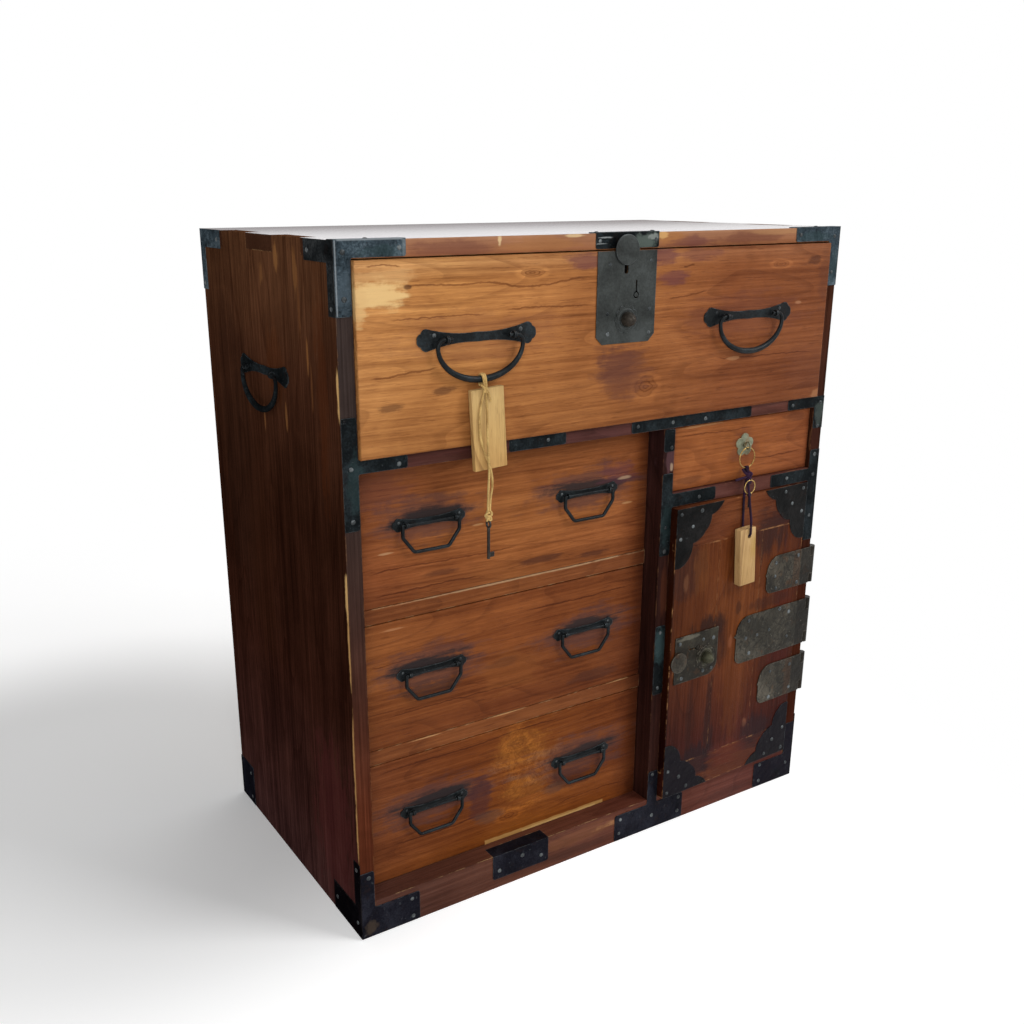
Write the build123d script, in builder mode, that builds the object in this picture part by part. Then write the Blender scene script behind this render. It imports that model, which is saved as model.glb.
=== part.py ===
from build123d import *
import math
import os

os.makedirs("parts", exist_ok=True)

# A clothing chest with iron fittings: one wide drawer over a bank of three recessed drawers
# on the left, and a small locked drawer over a hinged door on the right.
# Origin: middle of the footprint on the floor. X to the right, Y to the back, Z up, millimetres.

# Case
case_width = 760.0
case_depth = 420.0
case_height = 850.0
side_thickness = 19.5
top_thickness = 19.0
floor_thickness = 14.0
bearer_depth = 40.0
dust_board_thickness = 8.0
back_thickness = 8.0
back_board_count = 3
back_board_gap = 0.6
finger_count = 5  # fingers of the box joint at each top corner, top and side taking turns
dado_depth = 6.0
rail_depth = 45.0  # front to back, the same in every front rail
base_rail_height = 50.0
upper_rail_top = 617.0
upper_rail_height = 16.0
right_rail_top = 511.5
right_rail_height = 20.0
left_rail_height = 19.5
left_rail_tops = (240.5, 427.0)
left_recess = 29.0  # the left bank stands this far behind the front of the case
divider_left = 80.0
divider_thickness = 18.5
shelf_thickness = 12.0
shelf_height = 262.0
cleat_size = 14.0

# Drawers
front_thickness = 20.0
wide_drawer_proud = 6.0
small_drawer_recess = 5.0
drawer_side_gap = 0.7
drawer_top_gap = 1.5
running_gap = 0.3
drawer_back_gap = 1.0
box_side_thickness = 9.0
box_bottom_thickness = 7.0
box_side_drop = 6.0  # how far the box sides stay below the top of the front
lap_depth = 12.0  # how far the box sides are let into the back of the front
front_edge_radius = 1.5

# Door
door_thickness = 19.0
door_gap = 1.0
door_proud = 0.3
door_ajar = 2.2  # degrees; the old door doesn't shut flush
door_board_count = 3
door_board_gap = 0.3
top_clamp_height = 58.0
bottom_clamp_height = 48.0
tongue_length = 9.0
tongue_thickness = 7.0
corner_iron_width = 88.0
corner_iron_height = 84.0
scallop_depth = 3.0

# Hinges
leaf_thickness = 1.6
barrel_radius = 6.2
pin_radius = 2.6
pin_clearance = 0.06
knuckle_gap = 0.3
hinge_heights = (57.0, 73.0, 61.0)
hinge_centres = (358.5, 267.5, 181.5)
hinge_reaches = (76.0, 134.0, 76.0)  # door leaf, from the stile's inner edge over the door
side_leaf_length = 62.0
leaf_clearance = 0.3  # between the knuckles and the side of the case
leaf_top_radius = 24.0
leaf_foot_radius = 11.0
leaf_cusp_drop = 28.0  # from the top of a leaf down to the cusp at its end
leaf_cusps = (2.6, 4.5, 2.2)  # how far each cusp stands out

# Ironwork
iron_thickness = 0.9
plate_thickness = 1.2
lock_plate_thickness = 1.5
strap_inset = 1.0  # irons stay this far from the edges of the openings
corner_arm = 84.0
corner_drop = 78.0
corner_side_arm = 75.0
corner_side_height = 23.0
corner_side_width = 16.0
top_fold = 14.0
iron_corner_radius = 3.0
centre_strap_x = (-42.0, 55.0)
base_arm = 82.0
base_arm_height = 42.0
base_stile_rise = 95.0
base_side_arm = 80.0
base_side_rise = 108.0
floor_clearance = 1.0  # irons stop this far above the floor
base_plate_centre = -141.0
base_plate_width = 90.0
base_plate_bottom = 14.0
base_plate_fold = 20.0
base_post_x = (21.0, 149.0)
base_post_rise = 95.0
rear_iron_arm = 68.0
rear_base_arm = 50.0
rear_base_rise = 65.0
left_stile_strap_z = (537.0, 665.0)
left_rail_strap_end = -300.0
rail_strap_spans = ((-163.0, -80.0), (24.0, 235.0))
right_rail_strap_start = 307.0
right_stile_strap_bottom = 570.0
right_lower_strap_z = (400.0, 538.0)
right_rail_iron_spans = (177.0, 284.0)
post_top_strap_z = (570.0, 600.0)
post_strap_z = (425.0, 540.0)
post_middle_strap_z = (218.0, 322.0)

# Large bail handles
bail_half_length = 78.5
bail_end_half = 12.0
bail_waist_half = 5.5
bail_post_half = 44.0
bail_reach = 56.0
bail_drop = 47.0
bail_end_radius = 2.3
bail_middle_radius = 3.9
bail_standoff = 8.0
bail_sections = 10
wide_handle_offset = 210.0
wide_handle_drop = 89.0  # from the underside of the top board down to the handles
side_handle_height = 689.0
side_handle_from_front = 217.0

# Small loop handles
loop_half_length = 49.5
loop_end_half = 8.0
loop_waist_half = 4.5
loop_post_half = 33.0
loop_half_width = 38.5
loop_bar_radius = 2.2
loop_axle_radius = 1.4
loop_straight = 15.0
loop_foot_half = 23.5
loop_drop = 34.5
loop_corner_radius = 6.0
loop_standoff = 6.0
loop_spread = 117.5  # each side of the middle of its drawer
loop_heights = (141.0, 333.0, 525.0)

# Eye posts
eye_clearance = 0.25
eye_wall = 1.7
eye_width = 3.2
shank_radius = 1.9
shank_fit = 0.1
shank_tail = 4.0  # how far a shank comes through the back of a drawer front
side_post_cover = 2.0  # wood left between a side handle's shank and the inside of the case

# Locks
wide_lock_width = 90.5
wide_lock_height = 110.0
lock_corner = 9.0
disc_radius = 18.0
disc_thickness = 2.0
disc_gap = 0.3
disc_travel = 13.0
disc_stem_radius = 3.0
disc_stem_offset = 12.0
stem_cover = 1.0  # stems stop this far short of the back of their board
wide_lock_offset = 2.0
button_radius = 9.0
button_fit = 0.25
button_shoulder = 5.0  # height of the button's straight part over the board
button_height = 17.5
button_swell = 12.5  # how far up the button stays full
button_tip = 3.2  # how blunt its tip is
button_travel = 3.0
rosette_radius = 17.5
rosette_lobes = 12
rosette_lobe_radius = 4.1
rosette_height = 0.9
boss_radius = 13.0
boss_height = 1.0
boss_taper = 40.0
keyhole_radius = 4.4
keyhole_slot = 2.4
keyhole_length = 17.5
drill_pin_radius = 2.7
lock_case_width = 72.0
lock_case_height = 64.0
lock_case_depth = 13.0
door_lock_inset = 9.0  # from the free edge of the door to its lock plate
door_lock_width = 83.5
door_lock_height = 71.0
door_lock_middle = 266.5
door_lock_round = 20.0
door_disc_radius = 15.0
door_disc_inset = 6.8  # from the edge of the plate to the middle of the disc
door_disc_drop = 2.5
door_disc_travel = 8.0
door_stem_offset = 6.0
small_case_width = 46.0
small_case_height = 40.0
flower_radius = 16.5
flower_petals = 5
flower_height = 561.0
flower_offset = 2.0
small_keyhole_radius = 3.2

# Keys, tags and their cords
bow_radius = 5.5
bow_hole = 3.8
bow_thickness = 2.0
bow_from_face = 7.5
key_shaft_radius = 2.6
hanging_clearance = 0.1
ring_radius = 14.2
ring_wire = 0.8
fob_ring_radius = 9.8
fob_ring_offset = (0.0, -9.0, -57.2)
fob_key_bow = 3.6
fob_key_hole = 2.2
fob_key_shaft = 1.2
fob_key_length = 22.0
fob_offset = (-4.0, -13.5, -156.5)
fob_width = 29.5
fob_height = 84.0
fob_thickness = 12.0
fob_edge_radius = 1.2
fob_hole = 3.2
fob_hole_from_top = 11.5
fob_tilt = 3.9  # degrees
cord_radius = 1.6
tag_offset = (8.5, 0.0, -58.0)
tag_width = 44.0
tag_height = 95.0
tag_thickness = 7.0
tag_edge_radius = 0.8
tag_tilt = 3.4  # degrees
twine_radius = 1.3
tag_key_bow = 5.0
tag_key_hole = 3.0
tag_key_shaft = 1.9
tag_key_length = 48.0

left = -case_width / 2
right = case_width / 2
front = -case_depth / 2
rear = case_depth / 2
inner_left = left + side_thickness
inner_right = right - side_thickness
back_face = rear - back_thickness
top_under = case_height - top_thickness
divider_right = divider_left + divider_thickness
upper_rail_under = upper_rail_top - upper_rail_height
right_rail_under = right_rail_top - right_rail_height
left_face = front + left_recess
wide_face = front - wide_drawer_proud
wide_handle_height = top_under - wide_handle_drop
small_face = front + small_drawer_recess


def slab(x, y, z, mode=Mode.ADD):
    """Adds or cuts a block between pairs of faces."""
    with BuildSketch(Plane.XY.offset(z[0])) as outline:
        with Locations(((x[0] + x[1]) / 2, (y[0] + y[1]) / 2)):
            Rectangle(x[1] - x[0], y[1] - y[0])
    extrude(outline.sketch, amount=z[1] - z[0], mode=mode)


def board(x, y, z):
    with BuildPart() as piece:
        slab(x, y, z)
    return piece.part


def keep(label, *pieces):
    """Writes one node, with each piece as a separate solid."""
    solids = [solid for piece in pieces for solid in piece.solids()]
    node = Compound(solids) if len(solids) > 1 else solids[0]
    node.label = label
    export_step(node, f"parts/{label}.step")


def facing(x, y, z, outward):
    """A plane on a face of the chest: local x level, local y up, local z out of the face."""
    return Plane(origin=(x, y, z), x_dir=Vector(0, 0, 1).cross(Vector(*outward)), z_dir=outward)


def bore(plane, centres, radius, depth):
    """Drills round holes into a face."""
    with BuildSketch(plane) as holes:
        with Locations(*centres):
            Circle(radius)
    extrude(holes.sketch, amount=-depth, mode=Mode.SUBTRACT)


# Case boards

finger = case_depth / finger_count
finger_spans = [(front + n * finger, front + (n + 1) * finger) for n in range(finger_count)]

with BuildPart() as top_board:
    slab((inner_left, inner_right), (front, rear), (top_under, case_height))
    for span in finger_spans[::2]:
        slab((left, right), span, (top_under, case_height))
keep("top_board", top_board.part)


def side_board(outer, inner, dado, shelves):
    """A side, with its share of the top joint's fingers and a dado for each shelf board."""
    x = sorted((outer, inner))
    slab(x, (front, rear), (0, top_under))
    for span in finger_spans[1::2]:
        slab(x, span, (top_under, case_height))
    for face, top, thickness in shelves:
        slab(sorted((inner, dado)), (face + rail_depth, back_face), (top - thickness, top), Mode.SUBTRACT)


floor_shelf = (front, base_rail_height, floor_thickness)
upper_shelf = (front, upper_rail_top, dust_board_thickness)
right_shelf = (front, right_rail_top, dust_board_thickness)
left_shelves = [(left_face, top, dust_board_thickness) for top in left_rail_tops]

side_post_depth = side_thickness - side_post_cover
side_posts = [(-bail_post_half, 0), (bail_post_half, 0)]
left_handle = facing(left, front + side_handle_from_front, side_handle_height, (-1, 0, 0))
right_handle = facing(right, front + side_handle_from_front, side_handle_height, (1, 0, 0))

with BuildPart() as left_side:
    side_board(left, inner_left, inner_left - dado_depth, [floor_shelf, upper_shelf, *left_shelves])
    bore(left_handle, side_posts, shank_radius + shank_fit, side_post_depth)
keep("left_side", left_side.part)

with BuildPart() as right_side:
    side_board(right, inner_right, inner_right + dado_depth, [floor_shelf, upper_shelf, right_shelf])
    bore(right_handle, side_posts, shank_radius + shank_fit, side_post_depth)
keep("right_side", right_side.part)

base_plate_x = (base_plate_centre - base_plate_width / 2, base_plate_centre + base_plate_width / 2)

with BuildPart() as base_rail:
    slab((inner_left, inner_right), (front, front + rail_depth), (0, base_rail_height))
    # The centre plate's fold is let in flush, because the lowest drawer slides over it
    slab(
        base_plate_x,
        (front, front + base_plate_fold),
        (base_rail_height - iron_thickness, base_rail_height),
        Mode.SUBTRACT,
    )
keep("base_rail", base_rail.part)

# The floor, with a bearer under its middle
floor_under = base_rail_height - floor_thickness
keep(
    "floor_board",
    board(
        (inner_left - dado_depth, inner_right + dado_depth),
        (front + rail_depth, back_face),
        (floor_under, base_rail_height),
    ),
    board((inner_left, inner_right), (-bearer_depth / 2, bearer_depth / 2), (0, floor_under)),
)

back_board_height = (top_under - (back_board_count - 1) * back_board_gap) / back_board_count
back_bottoms = [n * (back_board_height + back_board_gap) for n in range(back_board_count)]
back_boards = [
    board((inner_left, inner_right), (back_face, rear), (bottom, bottom + back_board_height))
    for bottom in back_bottoms
]
keep("back_boards", *back_boards)


def rail_and_board(label, x, shelf, rail_height):
    """A front rail with the thin board behind it, whose ends run in dadoes."""
    face, top, thickness = shelf
    rail = board(x, (face, face + rail_depth), (top - rail_height, top))
    dust_x = (x[0] - dado_depth, x[1] + dado_depth)
    keep(label, rail, board(dust_x, (face + rail_depth, back_face), (top - thickness, top)))


rail_and_board("upper_shelf", (inner_left, inner_right), upper_shelf, upper_rail_height)
rail_and_board("right_shelf", (divider_right, inner_right), right_shelf, right_rail_height)
rail_and_board("left_lower_shelf", (inner_left, divider_left), left_shelves[0], left_rail_height)
rail_and_board("left_upper_shelf", (inner_left, divider_left), left_shelves[1], left_rail_height)

with BuildPart() as divider:
    divider_x = (divider_left, divider_right)
    slab(divider_x, (front, front + rail_depth), (base_rail_height, upper_rail_under))
    slab(
        divider_x,
        (front + rail_depth, back_face),
        (base_rail_height, upper_rail_top - dust_board_thickness),
    )
    for face, top, thickness in left_shelves:
        dado_x = (divider_left, divider_left + dado_depth)
        slab(dado_x, (face + rail_depth, back_face), (top - thickness, top), Mode.SUBTRACT)
    slab(
        (divider_right - dado_depth, divider_right),
        (front + rail_depth, back_face),
        (right_rail_top - dust_board_thickness, right_rail_top),
        Mode.SUBTRACT,
    )
keep("divider", divider.part)

# The cupboard behind the door: a shelf on two cleats, and a stop batten for the door's free edge
door_back = front - door_proud + door_thickness
stop_y = (door_back + door_gap, door_back + door_gap + cleat_size)
shelf_y = (stop_y[1] + cleat_size, back_face)
cleat_z = (shelf_height - shelf_thickness - cleat_size, shelf_height - shelf_thickness)
keep(
    "cupboard_shelf",
    board((divider_right, inner_right), shelf_y, (shelf_height - shelf_thickness, shelf_height)),
    board((divider_right, divider_right + cleat_size), shelf_y, cleat_z),
    board((inner_right - cleat_size, inner_right), shelf_y, cleat_z),
    board((divider_right, divider_right + cleat_size), stop_y, (base_rail_height, right_rail_under)),
)


# Eye posts, handle plates and bails


def eye_post(plane, along, standoff, bar_radius, depth):
    """A post driven through the face, with a round eye that carries one end of a bail."""
    hole = bar_radius + eye_clearance
    rim = hole + eye_wall
    start = plane.from_local_coords((along - eye_width / 2, 0, standoff))
    with BuildPart() as post:
        with BuildSketch(Plane(origin=start, x_dir=plane.z_dir, z_dir=plane.x_dir)) as eye:
            Circle(rim)
            Circle(hole, mode=Mode.SUBTRACT)
        extrude(eye.sketch, amount=eye_width)
        with BuildSketch(plane.offset(-depth)) as shank:
            with Locations((along, 0)):
                Circle(shank_radius)
        extrude(shank.sketch, amount=depth + standoff - hole - eye_wall / 2)
    return post.part


def handle_plate(plane, half_length, end_half, waist_half, post_half):
    """A plate with a narrow waist and scalloped ends, drilled for its two posts."""
    shoulder = half_length - 1.15 * end_half
    cusp = (half_length - 0.42 * end_half, 0.62 * end_half)
    with BuildPart() as plate:
        with BuildSketch(plane) as outline:
            with BuildLine() as edge:
                waist_mid = (0.62 * shoulder, waist_half + 0.2 * (end_half - waist_half))
                waist = ThreePointArc((0, waist_half), waist_mid, (shoulder, end_half))
                lobe_mid = (shoulder + 0.45 * end_half, 0.97 * end_half)
                lobe = ThreePointArc(waist @ 1, lobe_mid, cusp)
                tip_mid = (half_length - 0.06 * end_half, 0.36 * end_half)
                ThreePointArc(lobe @ 1, tip_mid, (half_length, 0))
                mirror(edge.line, about=Plane.XZ)
                mirror(edge.line, about=Plane.YZ)
            make_face()
            with Locations((-post_half, 0), (post_half, 0)):
                Circle(shank_radius + shank_fit, mode=Mode.SUBTRACT)
        extrude(outline.sketch, amount=plate_thickness)
    return plate.part


def large_handle(plane, depth):
    """The fixed pieces of a large handle: its plate and its two posts."""
    plate = handle_plate(plane, bail_half_length, bail_end_half, bail_waist_half, bail_post_half)
    posts = [
        eye_post(plane, along, bail_standoff, bail_end_radius, depth)
        for along in (-bail_post_half, bail_post_half)
    ]
    return [plate, *posts]


def large_bail(plane):
    """A round bar bent to a flat arch, thick in the middle and drawn down to its ends."""
    bend_start = bail_post_half + eye_width
    bend = bail_reach - bend_start
    pivot = plane.offset(bail_standoff)
    with BuildPart() as bail:
        with BuildLine(pivot) as arch:
            EllipticalCenterArc(
                (0, -bend), bail_reach, bail_drop - bend, start_angle=180, arc_size=180
            )
        sections = []
        for n in range(bail_sections + 1):
            share = n / bail_sections
            swell = math.sin(math.pi * share) * (bail_middle_radius - bail_end_radius)
            across = Plane(origin=arch.line @ share, x_dir=plane.z_dir, z_dir=arch.line % share)
            with BuildSketch(across) as section:
                Circle(bail_end_radius + swell)
            sections.append(section.sketch)
        loft(sections)
        for side in (-1, 1):
            tip = pivot.from_local_coords((side * (bail_post_half - 2 * eye_width), 0, 0))
            with BuildSketch(Plane(origin=tip, x_dir=plane.z_dir, z_dir=plane.x_dir * side)) as trunnion:
                Circle(bail_end_radius)
            extrude(trunnion.sketch, amount=3 * eye_width)
            with BuildLine(pivot) as corner:
                JernArc((side * bend_start, 0), (side, 0), radius=bend, arc_size=-side * 90)
            start = Plane(origin=corner.line @ 0, x_dir=plane.z_dir, z_dir=corner.line % 0)
            with BuildSketch(start) as bent:
                Circle(bail_end_radius)
            sweep(bent.sketch, path=corner.line)
    return bail.part


def small_handle(plane, depth):
    """The fixed pieces of a small handle: its plate and its two posts."""
    plate = handle_plate(plane, loop_half_length, loop_end_half, loop_waist_half, loop_post_half)
    posts = [
        eye_post(plane, along, loop_standoff, loop_axle_radius, depth)
        for along in (-loop_post_half, loop_post_half)
    ]
    return [plate, *posts]


def small_bail(plane):
    """A closed loop: a thin axle through both eyes, and a bar bent to a trapezoid below it."""
    pivot = plane.offset(loop_standoff)
    with BuildPart() as bail:
        with BuildLine(pivot) as bar:
            FilletPolyline(
                (loop_half_width, 0),
                (loop_half_width, -loop_straight),
                (loop_foot_half, -loop_drop),
                (-loop_foot_half, -loop_drop),
                (-loop_half_width, -loop_straight),
                (-loop_half_width, 0),
                radius=loop_corner_radius,
            )
        with BuildSketch(Plane(origin=bar.line @ 0, z_dir=bar.line % 0)) as section:
            Circle(loop_bar_radius)
        sweep(section.sketch, path=bar.line)
        for side in (-1, 1):
            with Locations(pivot.from_local_coords((side * loop_half_width, 0, 0))):
                Sphere(loop_bar_radius)
        axle_start = pivot.from_local_coords((-loop_half_width, 0, 0))
        with BuildSketch(Plane(origin=axle_start, z_dir=plane.x_dir)) as axle:
            Circle(loop_axle_radius)
        extrude(axle.sketch, amount=2 * loop_half_width)
    return bail.part


# Drawers


def front_board(x, z, face, handles, post_half):
    """A drawer front, lapped for the box sides and drilled for the handle posts."""
    low, high = z
    slab(x, (face, face + front_thickness), z)
    fillet(edges().group_by(Axis.Y)[0], radius=front_edge_radius)
    lap_y = (face + front_thickness - lap_depth, face + front_thickness)
    lap_z = (low + box_bottom_thickness, high - box_side_drop)
    slab((x[0], x[0] + box_side_thickness), lap_y, lap_z, Mode.SUBTRACT)
    slab((x[1] - box_side_thickness, x[1]), lap_y, lap_z, Mode.SUBTRACT)
    for centre, height in handles:
        posts = [(centre - post_half, height), (centre + post_half, height)]
        bore(facing(0, face, 0, (0, -1, 0)), posts, shank_radius + shank_fit, front_thickness)


def drawer_box(x, z, face):
    """The box behind a drawer front: two sides, a back and a bottom."""
    low, high = z
    end = back_face - drawer_back_gap
    side_y = (face + front_thickness - lap_depth, end)
    side_z = (low + box_bottom_thickness, high - box_side_drop)
    left_x = (x[0], x[0] + box_side_thickness)
    right_x = (x[1] - box_side_thickness, x[1])
    return [
        board(left_x, side_y, side_z),
        board(right_x, side_y, side_z),
        board((left_x[1], right_x[0]), (end - box_side_thickness, end), side_z),
        board(x, (face + front_thickness, end), (low, low + box_bottom_thickness)),
    ]


def inside_opening(x, z):
    """What a drawer front takes up of an opening once its gaps are left."""
    drawer_x = (x[0] + drawer_side_gap, x[1] - drawer_side_gap)
    return drawer_x, (z[0] + running_gap, z[1] - drawer_top_gap)


shank_depth = front_thickness + shank_tail


def lock_holes(lock, top, depth):
    """Cuts a lock's keyhole, its button's hole and its stem's slot, from top down to depth."""
    stem, way = lock["stem"], lock["way"]
    middle = (stem[0] + way[0] / 2, stem[1] + way[1] / 2)
    with BuildSketch(lock["plane"].offset(top)) as holes:
        with Locations(Location((*lock["keyhole"], 0), (0, 0, lock["turn"]))):
            Circle(keyhole_radius)
            Rectangle(keyhole_slot, keyhole_length, align=(Align.CENTER, Align.MIN))
        with Locations(lock["button"]):
            Circle(button_radius + button_fit)
        SlotCenterPoint(middle, stem, 2 * (disc_stem_radius + button_fit))
    extrude(holes.sketch, amount=-(top + depth), mode=Mode.SUBTRACT)


def lock_plate(lock, width, height, clipped, rounded):
    """A lock plate with a lobed rosette round its button, cut for key, button and disc."""
    with BuildPart() as plate:
        with BuildSketch(lock["plane"]) as outline:
            Rectangle(width, height)
            if clipped:
                chamfer(outline.vertices().group_by(Axis.Y)[0], clipped)
            if rounded:
                fillet(outline.vertices().group_by(Axis.X)[-1].sort_by(Axis.Y)[0], rounded)
        extrude(outline.sketch, amount=lock_plate_thickness)
        with BuildSketch(lock["plane"].offset(lock_plate_thickness)) as rosette:
            with Locations(lock["button"]):
                Circle(rosette_radius - rosette_lobe_radius)
                with PolarLocations(rosette_radius - rosette_lobe_radius, rosette_lobes):
                    Circle(rosette_lobe_radius)
        extrude(rosette.sketch, amount=rosette_height)
        with BuildSketch(lock["plane"].offset(lock_plate_thickness + rosette_height)) as boss:
            with Locations(lock["button"]):
                Circle(boss_radius)
        extrude(boss.sketch, amount=boss_height, taper=boss_taper)
        lock_holes(lock, lock_plate_thickness + rosette_height + boss_height, 0)
    return plate.part


def lock_case(plane, middle, width, height, depth, pin=None):
    """The closed case of a lock, on the back of its board, with the pin its key turns on."""
    with BuildPart() as case:
        with BuildSketch(plane.offset(-depth)) as outline:
            with Locations(middle):
                Rectangle(width, height)
        extrude(outline.sketch, amount=-lock_case_depth)
        if pin:
            with BuildSketch(plane.offset(-depth)) as drill_pin:
                with Locations(pin):
                    Circle(drill_pin_radius)
            extrude(drill_pin.sketch, amount=depth + lock_plate_thickness)
    return case.part


def lock_disc(lock, radius, depth):
    """The disc that slides over the frame, with the stem that runs in its slot."""
    stem_end = stem_cover - depth
    disc_back = lock_plate_thickness + disc_gap
    with BuildPart() as disc:
        with BuildSketch(lock["plane"].offset(disc_back)) as face:
            with Locations(lock["disc"]):
                Circle(radius)
        extrude(face.sketch, amount=disc_thickness)
        chamfer(edges().filter_by(GeomType.CIRCLE).sort_by(Axis.Y)[0], disc_thickness / 3)
        with BuildSketch(lock["plane"].offset(stem_end)) as stem:
            with Locations(lock["stem"]):
                Circle(disc_stem_radius)
        extrude(stem.sketch, amount=disc_back - stem_end)
    return disc.part


def lock_button(lock, depth):
    """The acorn-shaped button, free to travel in before it meets the case."""
    plane = lock["plane"]
    button_end = button_travel + stem_cover - depth
    middle = plane.from_local_coords((*lock["button"], 0))
    with BuildPart() as button:
        with BuildSketch(Plane(origin=middle, x_dir=plane.x_dir, z_dir=-plane.y_dir)) as half:
            with BuildLine():
                Polyline(
                    (0, button_height),
                    (0, button_end),
                    (button_radius, button_end),
                    (button_radius, button_shoulder),
                )
                Bezier(
                    (button_radius, button_shoulder),
                    (button_radius, button_swell),
                    (button_tip, button_height),
                    (0, button_height),
                )
            make_face()
        revolve(half.sketch, axis=Axis(middle, plane.z_dir))
    return button.part


# The wide drawer
wide_x, wide_z = inside_opening((inner_left, inner_right), (upper_rail_top, top_under))
wide_handles = [(-wide_handle_offset, wide_handle_height), (wide_handle_offset, wide_handle_height)]
wide_disc_up = wide_lock_height / 2 + 1
wide_lock = {
    "plane": facing(wide_lock_offset, wide_face, wide_z[1] - wide_lock_height / 2, (0, -1, 0)),
    "disc": (-wide_lock_offset, wide_disc_up),
    "stem": (-wide_lock_offset, wide_disc_up - disc_stem_offset),
    "way": (0, -disc_travel),
    "keyhole": (14.5, 2.5),
    "turn": 0,
    "button": (0.0, -26.0),
}

with BuildPart() as wide_front:
    front_board(wide_x, wide_z, wide_face, wide_handles, bail_post_half)
    lock_holes(wide_lock, 0, front_thickness)
keep("wide_drawer_front", wide_front.part)
keep("wide_drawer_box", *drawer_box(wide_x, wide_z, wide_face))
keep(
    "wide_lock_plate",
    lock_plate(wide_lock, wide_lock_width, wide_lock_height, lock_corner, 0),
    lock_case(
        wide_lock["plane"],
        (2.0, -6.0),
        lock_case_width,
        lock_case_height,
        front_thickness,
        pin=wide_lock["keyhole"],
    ),
)
keep("wide_lock_disc", lock_disc(wide_lock, disc_radius, front_thickness))
keep("wide_lock_button", lock_button(wide_lock, front_thickness))

wide_handle_pieces = []
for side, name in ((-1, "left"), (1, "right")):
    wide_handle = facing(side * wide_handle_offset, wide_face, wide_handle_height, (0, -1, 0))
    wide_handle_pieces += large_handle(wide_handle, shank_depth)
    keep(f"wide_drawer_bail_{name}", large_bail(wide_handle))
keep("wide_handle_plates", *wide_handle_pieces)

# The side handles
left_handle_pieces = large_handle(left_handle, side_post_depth)
keep("side_handle_plates", *left_handle_pieces, *large_handle(right_handle, side_post_depth))
keep("left_side_bail", large_bail(left_handle))
keep("right_side_bail", large_bail(right_handle))

# The left bank
left_middle = (inner_left + divider_left) / 2
left_floors = (base_rail_height, *left_rail_tops)
left_ceilings = [top - left_rail_height for top in left_rail_tops] + [upper_rail_under]
for number, (low, high, height) in enumerate(zip(left_floors, left_ceilings, loop_heights), 1):
    x, z = inside_opening((inner_left, divider_left), (low, high))
    centres = (left_middle - loop_spread, left_middle + loop_spread)
    with BuildPart() as left_front:
        front_board(x, z, left_face, [(centre, height) for centre in centres], loop_post_half)
    keep(f"left_drawer_{number}_front", left_front.part)
    keep(f"left_drawer_{number}_box", *drawer_box(x, z, left_face))
    pieces = []
    for centre, name in zip(centres, ("left", "right")):
        loop_plane = facing(centre, left_face, height, (0, -1, 0))
        pieces += small_handle(loop_plane, shank_depth)
        keep(f"left_drawer_{number}_bail_{name}", small_bail(loop_plane))
    keep(f"left_drawer_{number}_handle_plates", *pieces)

# The small drawer, with a flower plate round its keyhole and a key left in the lock
small_x, small_z = inside_opening((divider_right, inner_right), (right_rail_top, upper_rail_under))
key_x = (small_x[0] + small_x[1]) / 2 + flower_offset
small_plane = facing(key_x, small_face, flower_height, (0, -1, 0))

with BuildPart() as small_front:
    front_board(small_x, small_z, small_face, [], 0)
    bore(small_plane, [(0, 0)], small_keyhole_radius, front_thickness)
keep("small_drawer_front", small_front.part)
keep("small_drawer_box", *drawer_box(small_x, small_z, small_face))

petal_radius = 0.44 * flower_radius
with BuildPart() as flower:
    with BuildSketch(small_plane) as petals:
        Circle(flower_radius - petal_radius)
        with PolarLocations(flower_radius - petal_radius, flower_petals, start_angle=90):
            Circle(petal_radius)
        Circle(small_keyhole_radius, mode=Mode.SUBTRACT)
    extrude(petals.sketch, amount=plate_thickness)
small_case = lock_case(small_plane, (0, 0), small_case_width, small_case_height, front_thickness)
keep("flower_plate", flower.part, small_case)


def key_bow(centre, outer, hole, thickness):
    """The ring at the end of a key, standing fore and aft."""
    with BuildSketch(Plane.YZ.offset(centre[0] - thickness / 2)) as bow:
        with Locations((centre[1], centre[2])):
            Circle(outer)
            Circle(hole, mode=Mode.SUBTRACT)
    extrude(bow.sketch, amount=thickness)


bow_y = small_face - bow_from_face
with BuildPart() as small_key:
    key_bow((key_x, bow_y, flower_height), bow_radius, bow_hole, bow_thickness)
    with BuildSketch(small_plane.offset(stem_cover - front_thickness)) as key_shaft:
        Circle(key_shaft_radius)
    shaft_reach = bow_from_face - (bow_radius + bow_hole) / 2
    extrude(key_shaft.sketch, amount=front_thickness - stem_cover + shaft_reach)
keep("small_drawer_key", small_key.part)

# The door: upright boards tongued into a clamp at the top and another at the bottom
hinge_x = right + leaf_clearance + barrel_radius
hinge_y = front - door_proud - leaf_thickness + barrel_radius
door_axis = Axis((hinge_x, hinge_y, 0), (0, 0, 1))
door_x = (divider_right + door_gap, inner_right - door_gap)
door_z = (base_rail_height + door_gap, right_rail_under - door_gap)
door_face = front - door_proud
door_y = (door_face, door_face + door_thickness)
panel_z = (door_z[0] + bottom_clamp_height, door_z[1] - top_clamp_height)
tongue_middle = (door_y[0] + door_y[1]) / 2
tongue_y = (tongue_middle - tongue_thickness / 2, tongue_middle + tongue_thickness / 2)
tongue_z = (panel_z[0] - tongue_length, panel_z[1] + tongue_length)


def keep_on_door(label, *pieces):
    """Writes a node of the door, turned about the hinge pins to where the door stands ajar."""
    keep(label, *[piece.rotate(door_axis, door_ajar) for piece in pieces])


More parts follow.
